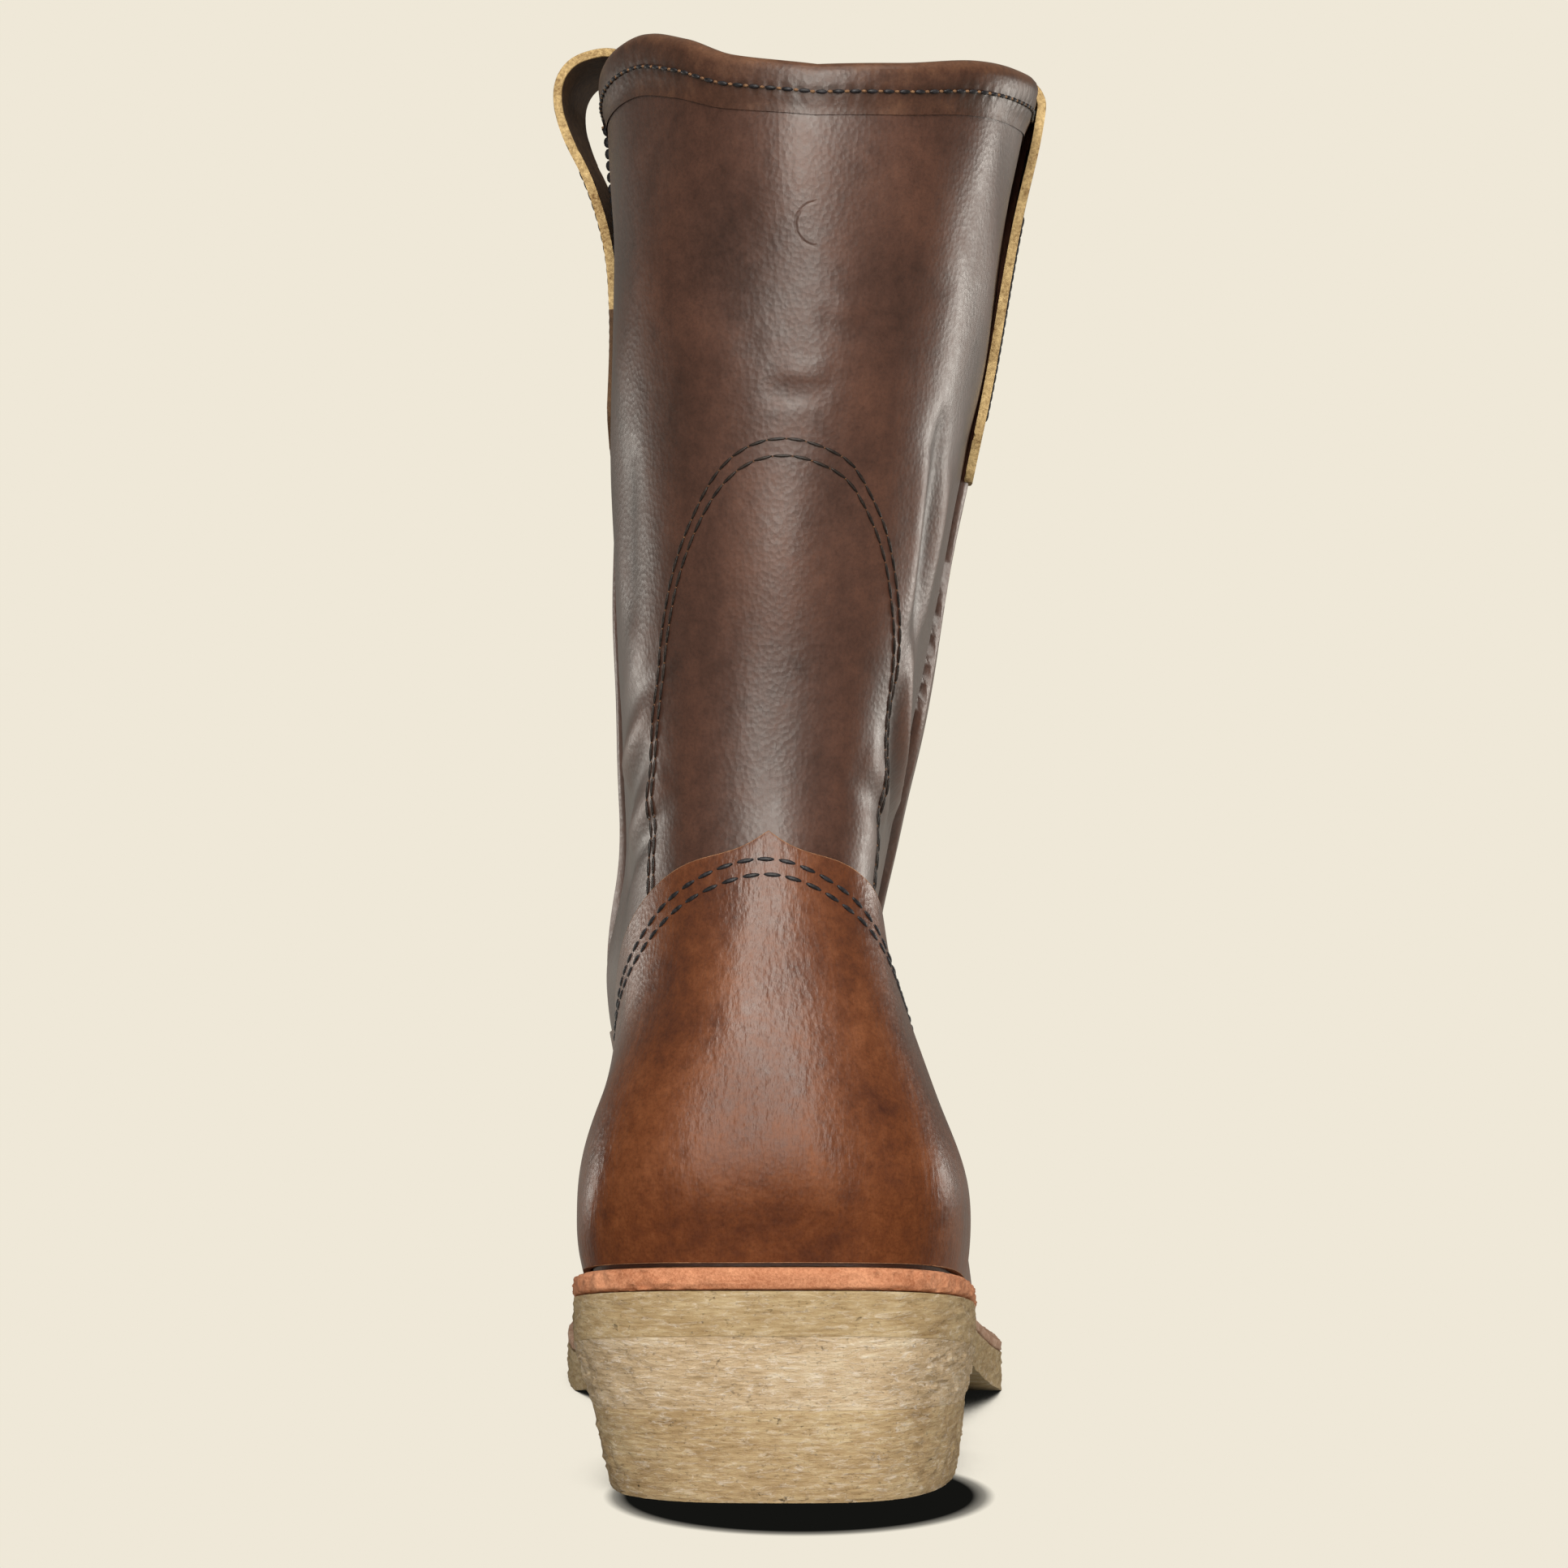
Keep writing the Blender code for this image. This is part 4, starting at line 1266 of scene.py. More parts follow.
    def overlay(self, angle: Points, row: Points, depth: float, left: Points | float = 1.0) -> Points:
        """Place on an overlay, whose foot stands level on the welt.

        Args:
            angle: Radians from the heel centre.
            row: Row between the feather line and the rim.
            depth: 0 on the inner face, 1 on the outer face.
            left: Share of its thickness left.

        Returns:
            x, y, z and tone.
        """
        last = self.boot.last
        foot = np.clip(1 - (row - self.overlay_foot) / 0.6, 0, 1)
        thin = self.skive(angle, row) * left
        lift = (last.overlay_gap + last.overlay * depth) * thin
        return self.boot.leather(angle, row, lift, foot)

    def skive(self, angle: Points, row: Points) -> Points:
        """Share of an overlay's thickness that is left near the vamp's upper rear corners.

        Args:
            angle: Radians from the heel centre.
            row: Row between the feather line and the rim.

        Returns:
            Share of the thickness.
        """
        turn = np.degrees(np.where(angle > math.pi, 2 * math.pi - angle, angle))
        near = smooth((74 - turn) / 10) * smooth((row - 3.6) / 1.0)
        return 1 - 0.7 * near * (turn > self.counter_side + 0.6)

    def counter_edge(self, degrees: Points) -> Points:
        """Row of the counter's top edge."""
        away = np.abs(degrees)
        return through(self.counter_top, away) + self.peak * np.exp(-away / self.peak_angle)

    def build_counter(self, materials: Sequence[bpy.types.Material]) -> bpy.types.Object:
        """Heel counter that wraps the back of the foot up to a small point.

        Args:
            materials: Finishes in slot order.

        Returns:
            The piece.
        """

        def place(a: Points, b: Points, depth: float) -> Points:
            """Places the grid's points.

            Args:
                a: Share across or round.
                b: Share along.
                depth: 0 on the inner face, 1 on the outer face.

            Returns:
                x, y, z and tone.
            """
            widest = self.counter_foot + (self.counter_side - self.counter_foot) * b
            degrees = (2 * a - 1) * widest
            top = self.counter_edge(degrees)
            row = self.overlay_foot + (top - self.overlay_foot) * b
            return self.overlay(np.radians(degrees) % (2 * math.pi), row, depth)

        mesh = slab(150, 110, place, 0.45)
        piece = finished(mesh, "heel_counter", self.boot.shift)
        return self.boot.keep(piece, materials, Slot.COUNTER, ["counter"])

    def build_vamp(self, materials: Sequence[bpy.types.Material]) -> bpy.types.Object:
        """Vamp over the toes and the instep.

        Args:
            materials: Finishes in slot order.

        Returns:
            The piece.
        """

        def place(a: Points, b: Points, depth: float) -> Points:
            """Places the grid's points.

            Args:
                a: Share across or round.
                b: Share along.
                depth: 0 on the inner face, 1 on the outer face.

            Returns:
                x, y, z and tone.
            """
            start = self.counter_foot + (self.counter_side - self.counter_foot) * b + self.parting
            degrees = 180 + (2 * a - 1) * (180 - start)
            turn = np.where(degrees > 180, 360 - degrees, degrees)
            top = through(self.vamp_top, turn) / self.vamp_rows[-1][1]
            row = self.overlay_foot + through(self.vamp_rows, b) * top
            left = 1 - 0.75 * smooth((b - 0.72) / 0.28)
            return self.overlay(np.radians(degrees), row, depth, left)

        mesh = slab(200, 90, place, 0.45)
        piece = finished(mesh, "vamp_overlay", self.boot.shift)
        return self.boot.keep(piece, materials, Slot.COUNTER, ["vamp"])

    def build_binding(self, material: bpy.types.Material) -> bpy.types.Object:
        """Strip of leather folded over the rim, pressed in along its stitches.

        Args:
            material: Finish of the piece.

        Returns:
            The piece.
        """
        last = self.boot.last
        half = 26
        leg = 0.34

        def place(a: Points, b: Points) -> Points:
            """Places the grid's points.

            Args:
                a: Share across or round.
                b: Share along.

            Returns:
                x, y, z and tone.
            """
            angle = a * 2 * math.pi
            outside = b < 0.5
            along = np.where(outside, b * 2, 2 - b * 2)
            outside = outside | (b >= 1.0)
            along = np.where(b >= 1.0, 0.0, along)
            drop = np.clip(np.where(along < 0.5, 1 - along / leg, 1 - (1 - along) / leg), 0, 1)
            over = np.clip((along - leg) / (1 - 2 * leg), 0, 1) * math.pi
            row = last.top_row - drop * self.binding_rows
            pinch = np.exp(-(((drop - 0.42) / 0.16) ** 2)) * outside
            pucker = 0.6 + 0.4 * np.cos(a * 112 * 2 * math.pi)
            skived = self.binding * (1 - 0.92 * smooth((drop - 0.25) / 0.65)) + 0.00012
            thick = np.where(outside, skived - pinch * 0.0003 * pucker, 0.0)
            swell = 0.0003 * np.sin(over) * outside
            reach = last.wall / 2 + 0.0001 + thick + swell
            rim = np.full_like(angle, float(last.top_row))
            out = last.normal(angle, row)
            up = np.cross(last.skin(angle + STEP, rim) - last.skin(angle - STEP, rim), out)
            up /= np.linalg.norm(up, axis=1, keepdims=True)
            moved = self.boot.relief.at(angle, row)
            sideways = reach * np.cos(over) - last.wall / 2 + moved
            points = last.skin(angle, row) + out * sideways[:, None] + up * (reach * np.sin(over))[:, None]
            # Painted highlight over the top of the roll and painted shade in the stitch pinch.
            tone = 0.22 * np.sin(over) - 0.10 * pinch
            return np.column_stack([points, tone])

        mesh = sleeve(448, half * 2, place)
        piece = finished(mesh, "collar_edge_binding", self.boot.shift, 60)
        return self.boot.keep(piece, [material], Slot.SHAFT, ["collar_binding"])

    def over_heel(self, inner: Sequence[Table], outer: Sequence[Table]) -> list[list]:
        """Lines over the heel centre from their inner and outer halves."""
        return [[*reversed(right), *left] for left, right in zip(inner, outer)]

    def build_stitches(self, black: bpy.types.Material, brown: bpy.types.Material, tan: bpy.types.Material,
                       arch_tan: bpy.types.Material) -> None:
        """Stitch rows of the collar, the shaft, the counter, the vamp and the side seams.

        Args:
            black: Thread of the collar, the counter and the vamp.
            brown: Thread of the shaft.
            tan: Leather that is pushed up between the collar's stitches.
            arch_tan: Leather that is pushed up between the shaft's stitches.

        Returns:
            Nothing.
        """
        last, relief = self.boot.last, self.boot.relief
        on_overlay = last.overlay_gap + last.overlay
        collar = [(d, last.top_row - 0.42 * self.binding_rows) for d in range(-180, 181, 10)]
        seam = [((92.4, 12.92), (92.7, 12.6), (93.1, 12.25), (93.4, 11.9))]
        arch = self.over_heel(self.arch_inner, self.arch_outer)
        counter = self.over_heel(self.counter_inner, self.counter_outer)
        on_collar = last.gap + self.binding - 0.0003
        sets = [
            ("collar_stitches", black, [collar], 3.3, 2.3, 0.85, on_collar, Slot.SHAFT, False),
            ("collar_stitch_humps", tan, [collar], 3.3, 1.0, 0.62, on_collar, Slot.SHAFT, True),
            ("shaft_arch_stitches", brown, arch, 3.9, 3.8, 0.66, 0.0, Slot.SHAFT, False),
            ("shaft_arch_humps", arch_tan, arch, 3.9, 0.45, 0.36, 0.0, Slot.SHAFT, True),
            ("counter_stitches", black, counter, 4.0, 3.5, 0.95, on_overlay - 0.0002, Slot.COUNTER, False),
            ("vamp_stitches", black, self.vamp_seams, 4.0, 3.2, 0.8, on_overlay - 0.0002, Slot.COUNTER, False),
            ("side_seam_stitches", black, seam, 2.6, 2.4, 1.7, 0.0011, Slot.SHAFT, False),
        ]
        for name, material, lines, pitch, long, thick, lift, slot, between in sets:
            places = [
                one for line in lines
                for one in stitch_row(last, relief, line, pitch, long, thick, lift, between)
            ]
            piece = thread_piece(name, places, self.boot.shift, material)
            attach(piece, "root")


@dataclass
class PullStrap:
    """Strap of thick leather whose legs lie inside and outside the shaft; it stands over the rim and is sewn
    on its outer leg.
    """

    boot: Boot
    name: str
    node: str
    at: float
    line: tuple
    thickness: float = 0.0019
    half_angle: float = 11.0
    clip: float = 0.0095
    clip_from: float = 0.5
    gold_from: float = 0.0
    steps: int = 150
    lanes: int = 26

    def shaft_point(self, angle: Points, drop: Points, out: Points) -> Points:
        """Place a height below or above the rim, moved outward from the shaft.

        Args:
            angle: Radians from the heel centre.
            drop: Height below or above the rim.
            out: Distance outward.

        Returns:
            Places.
        """
        last = self.boot.last
        rows = np.linspace(last.top_row - 5, last.top_row, 101)
        columns, index = np.unique(np.round(angle, 9), return_inverse=True)
        result = np.zeros((len(angle), 3))
        for number, column in enumerate(columns):
            here = index == number
            heights = last.skin(np.full(len(rows), column), rows)[:, 2]
            row = np.interp(heights[-1] + np.minimum(drop[here], 0), heights, rows)
            turn = np.full(len(row), column)
            flat = last.normal(turn, row)
            flat[:, 2] *= np.clip(-drop[here] / (self.thickness * 4), 0, 1)
            flat /= np.linalg.norm(flat, axis=1, keepdims=True)
            result[here] = last.skin(turn, row) + flat * out[here][:, None]
            result[here, 2] += np.maximum(drop[here], 0)
        return result

    def build(
        self, materials: Sequence[bpy.types.Material], thread: bpy.types.Material
    ) -> bpy.types.Object:
        """Bends the strap over the rim and sews its outer leg.

        Args:
            materials: Finishes in slot order.
            thread: Finish of the thread.

        Returns:
            Nothing.
        """
        line = np.array(self.line) * self.boot.last.height
        reach = np.concatenate([[0], np.cumsum(np.linalg.norm(np.diff(line, axis=0), axis=1))])
        fine = spline_weights(reach / reach[-1], np.linspace(0, 1, self.steps * 8 + 1)) @ line
        along = np.gradient(fine, axis=0)
        along /= np.linalg.norm(along, axis=1, keepdims=True)
        side = np.stack([-along[:, 1], along[:, 0]], axis=1)
        share = np.linspace(0, 1, len(fine))
        flat_end, tip = line[-2, 1], line[-1, 1]

        def spot(lane: Points, b: Points, away: Points) -> Points:
            """Point of the strap at a lane, a share along and a distance from its middle.

            Args:
                lane: Place across the strap from -1 to 1.
                b: Share along.
                away: Distance from its middle.

            Returns:
                Places.
            """
            pick = [np.interp(b, share, column) for column in (*fine.T, *side.T)]
            out, height = pick[0] + pick[2] * away, pick[1] + pick[3] * away
            clip = self.clip * np.clip((np.abs(lane) - self.clip_from) / (1 - self.clip_from), 0, 1)
            on_leg = (b > 0.5) & (height < flat_end)
            shrink = (tip + clip - flat_end) / (tip - flat_end)
            height = np.where(on_leg, flat_end + (height - flat_end) * shrink, height)
            angle = np.radians(self.at + lane * self.half_angle)
            return self.shaft_point(angle, height, out)

        def place(a: Points, b: Points, depth: float) -> Points:
            """Places the grid's points.

            Args:
                a: Share across or round.
                b: Share along.
                depth: 0 on the inner face, 1 on the outer face.

            Returns:
                x, y, z and tone.
            """
            lane = 2 * a - 1
            points = spot(lane, b, np.full_like(b, (depth - 0.5) * self.thickness))
            tone = 0.04 * np.cos(b * 40)
            return np.column_stack([points, tone])

        mesh = slab(self.lanes, self.steps, place, 0.35)
        for face in mesh.faces:
            if face.calc_center_median().z < self.gold_from:
                face.material_index = 0
        piece = finished(mesh, self.name, self.boot.shift)
        self.boot.keep(piece, materials, Slot.STRAP, [self.node])
        places = []
        for lane in (-0.78, 0.78):
            b = np.linspace(0.60, 0.93, 22)
            spots = spot(np.full(len(b), lane), b, np.full(len(b), self.thickness / 2))
            outer = spot(np.full(len(b), lane), b, np.full(len(b), self.thickness))
            ways = np.gradient(spots, axis=0)
            for point, over, way in zip(spots, outer, ways):
                way /= np.linalg.norm(way)
                up = (over - point) / np.linalg.norm(over - point)
                across = np.cross(up, way)
                whole = np.eye(4)
                whole[:3, :3] = np.column_stack([across * 0.4, np.cross(way, across) * 0.4, way * 1.3]) * MM
                whole[:3, 3] = point
                places.append(Matrix(whole.tolist()))
        sewn = thread_piece(self.name + "_stitches", places, self.boot.shift, thread)
        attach(sewn, "root")
        return piece


@dataclass(frozen=True)
class StrapSet:
    """Where the two straps sit and how their middle lines run, as shares of the boot's height.

    Each line gives the distance outward from the shaft and the height over the rim, from the
    inner leg over the rim to the tip of the outer leg.
    """

    medial_at: float = 104.0
    lateral_at: float = 264.0
    medial_gold_from: float = 0.243
    medial: tuple = (
        (-0.0137, -0.1533), (-0.0137, -0.0700), (-0.0163, -0.0400), (-0.0180, -0.0100), (-0.0180, 0.0160),
        (-0.0133, 0.0347), (-0.0013, 0.0407), (0.0140, 0.0397), (0.0290, 0.0330), (0.0372, 0.0205),
        (0.0383, 0.0043), (0.0327, -0.0190), (0.0243, -0.0407), (0.0173, -0.0640), (0.0120, -0.0873),
        (0.0083, -0.1107), (0.0065, -0.1340), (0.0060, -0.2507),
    )
    lateral: tuple = (
        (-0.0137, -0.1533), (-0.0137, -0.0700), (-0.0163, -0.0400), (-0.0180, -0.0100), (-0.0150, 0.0067),
        (-0.0040, 0.0147), (0.0053, 0.0080), (0.0087, -0.0067), (0.0090, -0.0367), (0.0076, -0.0633),
        (0.0065, -0.0933), (0.0060, -0.2667),
    )

    def build(self, boot: Boot, palette: Palette, thread: bpy.types.Material) -> None:
        """Builds both straps.

        Args:
            boot: Shared ground.
            palette: Finishes.
            thread: Thread that sews them.

        Returns:
            Nothing.
        """
        finish = [palette.strap_face.make(), palette.strap_edge.make()]
        for name, node, at, line, gold_from in (
            ("medial_pull_strap", "pull_strap_medial", self.medial_at, self.medial, self.medial_gold_from),
            ("lateral_pull_strap", "pull_strap_lateral", self.lateral_at, self.lateral, 0.0),
        ):
            PullStrap(boot, name, node, at, line, gold_from=gold_from).build(finish, thread)


@dataclass
class Bottom:
    """Welt, rand, insole, crepe slip sole and the two layers of the heel."""

    boot: Boot
    insole_inset: float = 0.0012
    insole_rise: float = 0.0036
    breast_cut: float = 0.006
    layer_gap: float = 0.00004
    top_piece: float = 0.0178
    slope: float = 0.066
    taper: float = 0.0056
    taper_power: float = 0.8
    lean: float = 0.0018
    rim_angle: float = math.radians(55)

    def strip(
        self, name: str, node: str, turns: tuple[float, float], columns: int, boxy: float,
        fuzz_mm: float, materials: Sequence[bpy.types.Material],
    ) -> bpy.types.Object:
        """Strip of leather round the feather line with a rounded outer edge.

        Args:
            name: Name of the piece.
            node: Solid that it stands for.
            turns: First and last angle.
            columns: Segments along it.
            boxy: Power that squares its cross-section.
            fuzz_mm: Unevenness of its edge.
            materials: Finishes in slot order.

        Returns:
            The piece.
        """
        last = self.boot.last
        around = 36

        def place(a: Points, b: Points) -> Points:
            """Places the grid's points.

            Args:
                a: Share across or round.
                b: Share along.

            Returns:
                x, y, z and tone.
            """
            angle = turns[0] + (turns[1] - turns[0]) * a
            edge = last.overhang(angle)
            corner = 2 * math.pi * b
            wide = np.sign(np.cos(corner)) * np.abs(np.cos(corner)) ** 0.42
            tall = np.sign(np.sin(corner)) * np.abs(np.sin(corner)) ** boxy
            middle, half = (edge - last.wall) / 2, (edge + last.wall) / 2
            outward = middle + half * wide
            plan = last.feather(angle, outward)
            thick = last.strip_thickness(plan[:, 1])
            level = last.sole_top(plan[:, 1]) + last.gap + thick * (0.5 + 0.5 * tall)
            rough = ripple(np.column_stack([plan, level]), 0.004, 5) * fuzz_mm * MM * (wide > 0.6)
            plan = last.feather(angle, outward + rough)
            return np.column_stack([plan, level, 0.05 * tall])

        piece = finished(sleeve_open(columns, around, place), name, self.boot.shift, 60)
        return self.boot.keep(piece, materials, Slot.RAND, [node])

    def outline(self, a: Points, reach: Curve, front: float) -> tuple[Points, Points]:
        """Outline point and the matching point of the middle line, round a flat piece.

        Args:
            a: Share across or round.
            reach: Distance of the edge by angle.
            front: Turn where the piece ends in front.

        Returns:
            Points of the outline and of the middle line.
        """
        last = self.boot.last
        breast = 0.16 if front < math.pi else 0.0
        side = (1 - breast) / 2
        turn = np.where(a < side, a / side, np.where(a > 1 - side, (1 - a) / side, 1.0)) * front
        medial = last.feather(turn, reach(turn))
        other = 2 * math.pi - turn
        lateral = last.feather(other, reach(turn) if front < math.pi else reach(other))
        across = np.clip((a - side) / breast, 0, 1) if breast else (a > 0.5).astype(float)
        edge = medial + (lateral - medial) * across[:, None]
        return edge, (medial + lateral) / 2

    def loaf(
        self, name: str, node: str, columns: int, reach: Curve, front: float, low: Curve, high: Curve,
        taper: bool, rough_mm: float, materials: Sequence[bpy.types.Material], slot: Slot,
    ) -> bpy.types.Object:
        """Flat layer of the bottom with a buffed side.

        Args:
            name: Name of the piece.
            node: Solid that it stands for.
            columns: Segments round.
            reach: Distance of its edge from the feather line, by angle.
            front: Turn where it ends in front; half a turn is the toe.
            low: Height of its underside by y.
            high: Height of its upper face by y.
            taper: Whether it narrows to the floor as the heel does.
            rough_mm: Unevenness of its side.
            materials: Finishes.
            slot: Slot of the record.

        Returns:
            The piece.
        """
        last = self.boot.last
        flat, sides = 7, 15
        rows = flat * 2 + sides
        full = float(last.tread_height(np.array([0.0]))[0])

        def place(a: Points, b: Points) -> Points:
            """Places the grid's points.

            Args:
                a: Share across or round.
                b: Share along.

            Returns:
                x, y, z and tone.
            """
            step = np.rint(b * rows)
            share = np.clip(np.minimum(step / flat, (rows - step) / flat), 0, 1)
            share = np.where(share < 1, share * 0.992, 1.0)
            down = np.clip((step - flat) / sides, 0, 1)
            edge, middle = self.outline(a, reach, front)
            if taper:
                top = float(high(np.array([0.0]))[0])
                base = float(low(np.array([0.0]))[0])
                level = top + (base - top) * down
                lowness = 1 - np.clip(level / full, 0, 1)
                inward = self.taper * lowness**self.taper_power
                out = edge - middle
                long = np.maximum(np.linalg.norm(out, axis=1), 1e-6)
                edge = edge - out / long[:, None] * np.minimum(inward, long)[:, None]
                forward = smooth((edge[:, 1] - 0.03) / (self.boot.last.breast * last.length - 0.03))
                edge[:, 1] -= self.breast_cut * lowness * forward**2
                edge[:, 0] += self.lean * lowness
            plan = middle + (edge - middle) * share[:, None]
            bottom, top_z = low(plan[:, 1]), high(plan[:, 1])
            z = top_z + (bottom - top_z) * down
            coarse = ripple(np.column_stack([plan, z * 4]), 0.012, 7)
            fine = ripple(np.column_stack([plan, z * 6]), 0.004, 9)
            rough = (coarse * 0.6 + fine * 0.4) * rough_mm * MM
            rough = rough * (share >= 1) * np.sin(math.pi * np.clip(down, 0.06, 0.94)) ** 0.5
            out = edge - middle
            out /= np.maximum(np.linalg.norm(out, axis=1, keepdims=True), 1e-6)
            plan = plan + out * rough[:, None]
            return np.column_stack([plan, z, 0 * z])

        mesh = sleeve(columns, rows, place)
        rims = [
            edge for edge in mesh.edges
            if len(edge.link_faces) == 2 and edge.calc_face_angle(0) > self.rim_angle
        ]
        bmesh.ops.bevel(
            mesh, geom=rims, offset=0.22 * MM, offset_type="OFFSET", segments=2, profile=0.5,
            affect="EDGES", material=-1, clamp_overlap=True,
        )
        piece = finished(mesh, name, self.boot.shift)
        return self.boot.keep(piece, materials, slot, [node])

    def build(self, palette: Palette, thread: bpy.types.Material) -> None:
        """Builds and dresses every layer.

        Args:
            palette: Finishes.
            thread: Finish of the thread; not used.

        Returns:
            Nothing.
        """
        last = self.boot.last
        medial, lateral = last.angle_at(last.breast, True), last.angle_at(last.breast, False)
        slip, lift, base = palette.slip.make(), palette.lift.make(), palette.top_piece.make()
        self.strip("welt_strip", "welt", (medial + 0.003, 2 * math.pi - lateral - 0.003), 260, 0.3, 0.15,
                   [palette.welt.make()])
        self.strip("heel_rand_strip", "heel_rand", (-lateral + 0.003, medial - 0.003), 220, 0.5, 0.35,
                   [palette.rand.make()])
        self.loaf(
            "slip_sole", "outsole", 400, last.overhang, math.pi, last.tread_height, last.sole_top,
            False, 0.35, [slip], Slot.CREPE)
        self.loaf(
            "heel_lift_layer", "heel_lift", 320, last.overhang, medial, self.lift_low, self.lift_high,
            True, 0.6, [lift], Slot.CREPE)
        self.loaf(
            "heel_top_piece_layer", "heel_top_piece", 320, last.overhang, medial, np.zeros_like,
            self.top_piece_high, True, 0.4, [base], Slot.CREPE)
        self.loaf(
            "insole_board", "insole", 240, self.insole_edge, math.pi, self.insole_low, self.insole_high,
            False, 0.0, [palette.insole.make()], Slot.INSOLE)

    def top_piece_high(self, y: Points) -> Points:
        """Upper face of the heel's top piece."""
        return self.top_piece - self.slope * y

    def lift_low(self, y: Points) -> Points:
        """Underside of the heel lift."""
        return self.top_piece_high(y) + self.layer_gap

    def lift_high(self, y: Points) -> Points:
        """Upper face of the heel lift."""
        return self.boot.last.tread_height(y) - self.layer_gap

    def insole_edge(self, turn: Points) -> Points:
        """Distance of the insole's edge from the feather line."""
        return np.full(np.shape(turn), -(self.boot.last.wall + self.insole_inset))

    def insole_low(self, y: Points) -> Points:
        """Underside of the insole."""
        return self.boot.last.sole_top(y) + self.boot.last.gap

    def insole_high(self, y: Points) -> Points:
        """Upper face of the insole."""
        return self.boot.last.feather_height(y) + self.insole_rise


def sleeve_open(columns: int, around: int, place: Place) -> bmesh.types.BMesh:
    """Sleeve round a strip's cross-section, whose two ends are closed.

    Args:
        columns: Segments along the strip.
        around: Segments round its cross-section.
        place: Gives x, y, z and tone at shares along and round.

    Returns:
        The closed mesh.
    """
    mesh = bmesh.new()
    bmesh.ops.create_grid(mesh, x_segments=columns, y_segments=around, size=0.5)
    grid = as_grid(mesh)
    place_all(mesh, place(grid[:, 0], grid[:, 1]))
    bmesh.ops.remove_doubles(mesh, verts=mesh.verts[:], dist=MERGE)
    bmesh.ops.holes_fill(mesh, edges=[edge for edge in mesh.edges if edge.is_boundary])
    return mesh


@dataclass(frozen=True)
class Softbox:
    """Rectangular studio light."""

    name: str
    where: tuple[float, float, float]
    size: tuple[float, float]
    power: float
    colour: str = "#FFF8EE"
    mirrored: bool = True

    def hang(self, target: Vector) -> None:
        """Makes the light and turns it to the target.

        Args:
            target: Point that it faces.

        Returns:
            Nothing.
        """
        data = bpy.data.lights.new(self.name, "AREA")
        data.shape = "RECTANGLE"
        data.size, data.size_y = self.size
        data.energy = self.power
        data.color = linear(self.colour)[:3]
        lamp = bpy.data.objects.new(self.name, data)
        lamp.location = self.where
        lamp.visible_glossy = self.mirrored
        lamp.rotation_euler = (target - Vector(self.where)).to_track_quat("-Z", "Y").to_euler()
        bpy.context.scene.collection.objects.link(lamp)


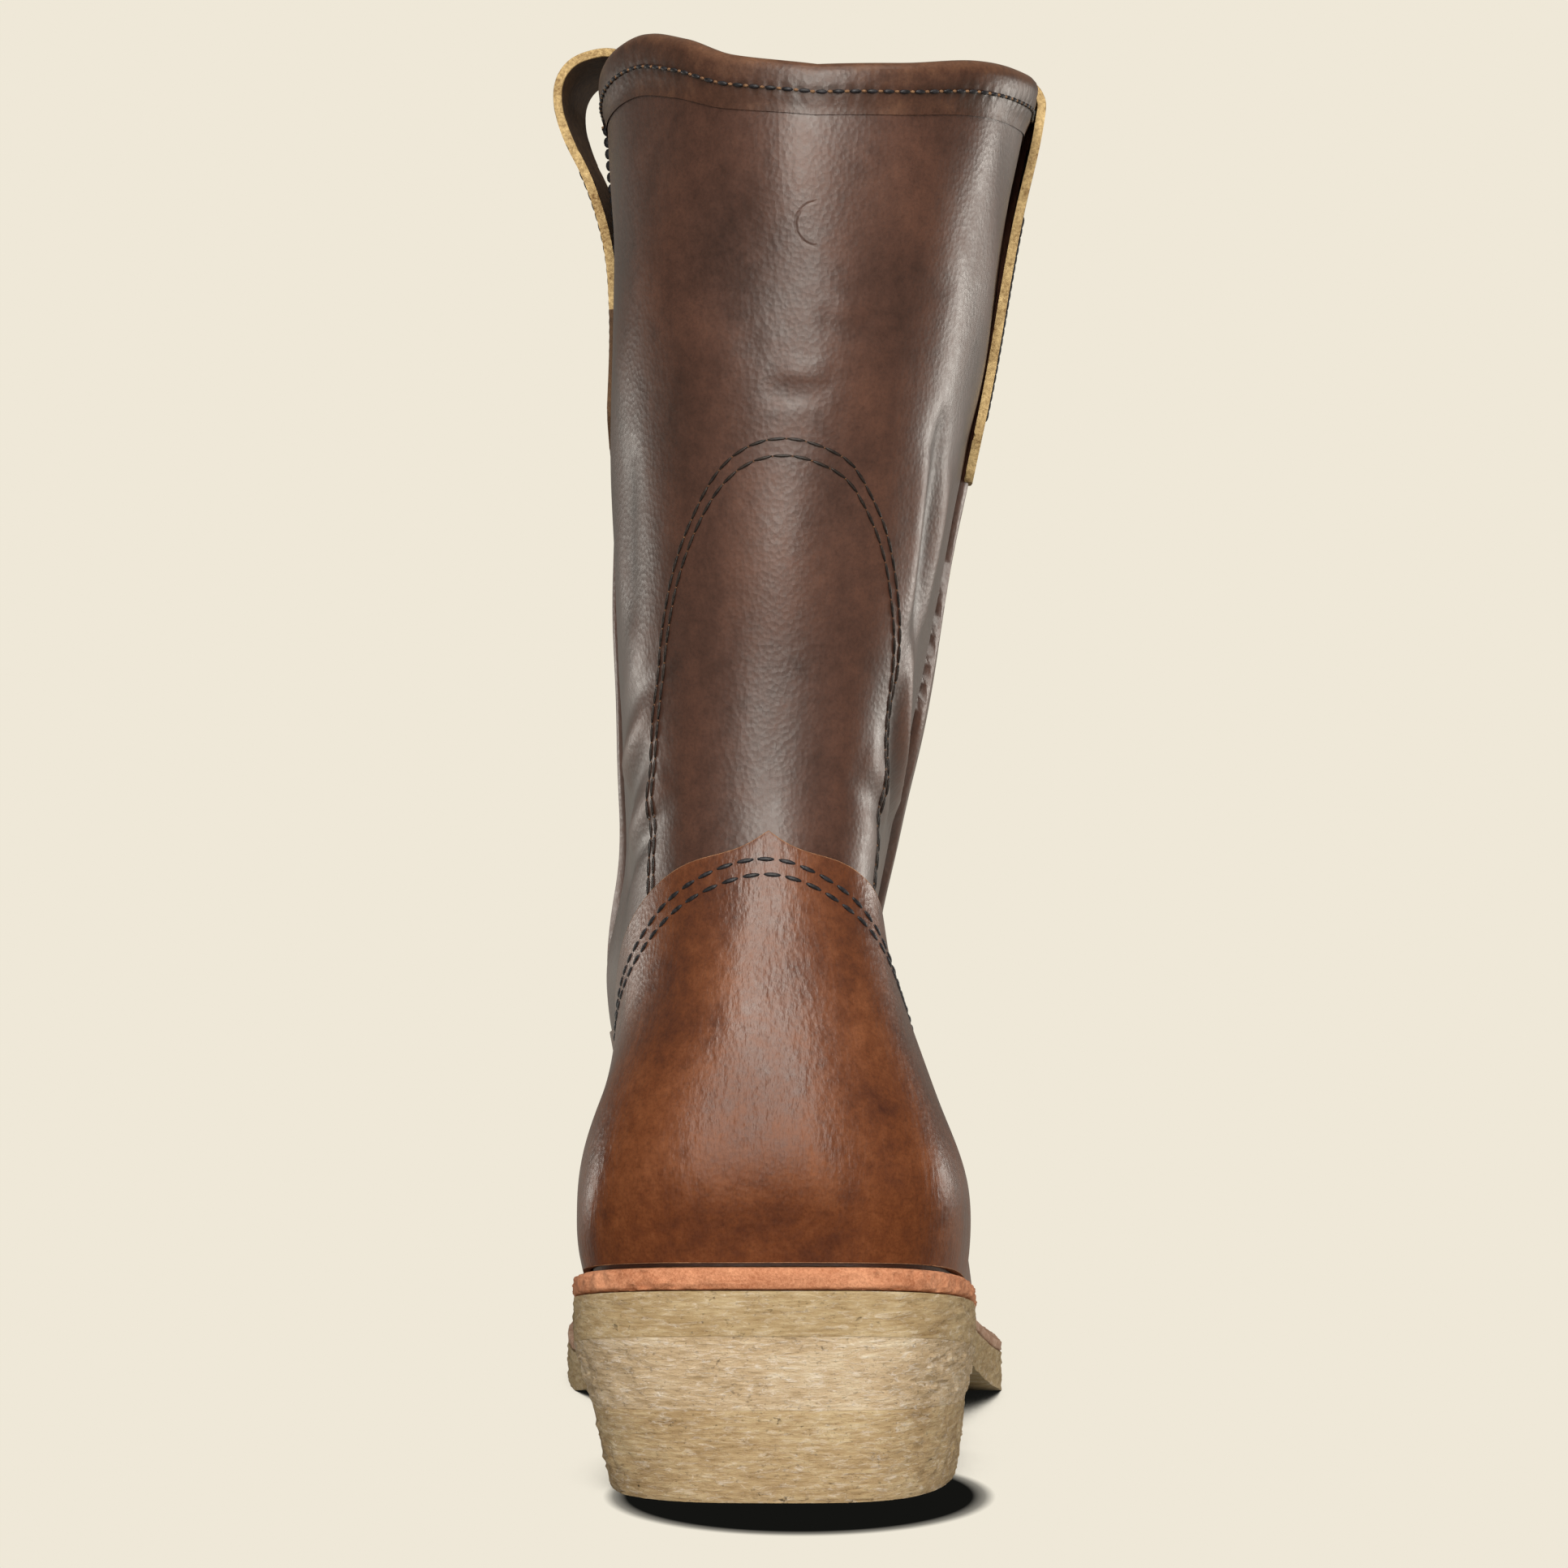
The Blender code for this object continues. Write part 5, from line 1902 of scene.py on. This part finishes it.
@dataclass
class Studio:
    """Camera, pale paper and soft lights."""

    shift: Vector
    eye: tuple[float, float, float] = (0.0, -0.780, 0.118)
    lens: float = 92.18
    sensor: float = 36.0
    tilt_degrees: float = 1.552
    ambient: float = 0.20
    lights: tuple = (
        Softbox("strip_behind_camera", (-0.04, -2.2, 0.75), (0.36, 2.4), 62.0),
        Softbox("softbox_left", (-1.5, 1.2, 0.11), (0.5, 0.22), 4.0),
        Softbox("softbox_right", (1.5, 1.0, 0.15), (0.6, 0.30), 7.0),
        Softbox("softbox_over", (0.25, -0.9, 2.0), (1.2, 1.0), 10.0),
        Softbox("fill_right", (1.6, -1.25, 0.25), (1.2, 0.8), 11.0, mirrored=False),
        Softbox("fill_left", (-1.3, -1.5, 0.25), (1.2, 0.8), 4.0, mirrored=False),
    )

    def set_camera(self) -> None:
        """Camera straight behind the heel, at the photograph's angle.

        Returns:
            Nothing.
        """
        data = bpy.data.cameras.new("photo_camera")
        data.lens, data.sensor_width = self.lens, self.sensor
        data.clip_start, data.clip_end = 0.05, 60.0
        camera = bpy.data.objects.new("photo_camera", data)
        camera.location = Vector(self.eye) + self.shift
        camera.rotation_euler = (math.radians(90 + self.tilt_degrees), 0.0, 0.0)
        bpy.context.scene.collection.objects.link(camera)
        bpy.context.scene.camera = camera

    def build(self) -> None:
        """Paper, lights and world.

        Returns:
            Nothing.
        """
        self.set_camera()
        mesh = bmesh.new()
        bmesh.ops.create_grid(mesh, x_segments=24, y_segments=60, size=0.5)
        for vert in mesh.verts:
            run = (vert.co.y + 0.5) * 12.0
            bend = min(max((run - 6.5) / 1.9, 0.0), 1.0) * math.pi / 2
            y = min(run, 6.5) + 1.2 * math.sin(bend) - 3.6
            z = 1.2 * (1 - math.cos(bend)) + max(run - 8.4, 0.0)
            vert.co = (vert.co.x * 5.0, y, z)
        data = bpy.data.meshes.new("studio_paper")
        mesh.to_mesh(data)
        mesh.free()
        data.shade_smooth()
        data.materials.append(PaleStage().make(self.shift))
        paper = bpy.data.objects.new("studio_paper", data)
        bpy.context.scene.collection.objects.link(paper)
        for light in self.lights:
            light.hang(Vector((0.0, 0.0, 0.15)))
        world = bpy.data.worlds.new("studio_world")
        world.use_nodes = True
        ground = world.node_tree.nodes["Background"]
        ground.inputs["Color"].default_value = linear("#EFE8D8")
        path = world.node_tree.nodes.new("ShaderNodeLightPath")
        shown = calc(world.node_tree, "MAXIMUM", path.outputs["Is Camera Ray"], self.ambient)
        world.node_tree.links.new(shown, ground.inputs["Strength"])
        bpy.context.scene.world = world
        bpy.context.scene.view_settings.view_transform = "Standard"


def frame_shift(last: Last) -> Vector:
    """Move from the boot's own sizes to the frame, from the outline of the outsole.

    Args:
        last: Shape of the boot.

    Returns:
        The move.
    """
    turn = np.linspace(0, math.pi, 41)
    both = np.concatenate([turn, 2 * math.pi - turn])
    plan = last.feather(both, last.overhang(both))
    low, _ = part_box("outsole")
    own = plan.min(axis=0)
    return Vector((low.x - own[0], low.y - own[1], 0.0))


def main() -> None:
    """Builds the boot and its studio in order.

    Returns:
        Nothing.
    """
    logging.basicConfig(level=logging.INFO, format="%(message)s")
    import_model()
    last = Last()
    shift = frame_shift(last)
    LOG.info("shift to the frame: %.5f %.5f", shift.x, shift.y)
    Studio(shift).build()
    boot = Boot(last, Relief(last), shift)
    palette = Palette()
    upper = Upper(boot)
    shaft, counter, cut = palette.shaft.make(), palette.counter.make(), palette.cut.make()
    black, brown = palette.black.make(), palette.brown.make()
    upper.build_shell(shaft)
    upper.build_counter([counter, cut])
    upper.build_vamp([counter, cut])
    upper.build_binding(palette.collar.make())
    upper.build_stitches(black, brown, palette.hump.make(), palette.arch_hump.make())
    StrapSet().build(boot, palette, black)
    Bottom(boot).build(palette, brown)


if __name__ == "__main__":
    main()
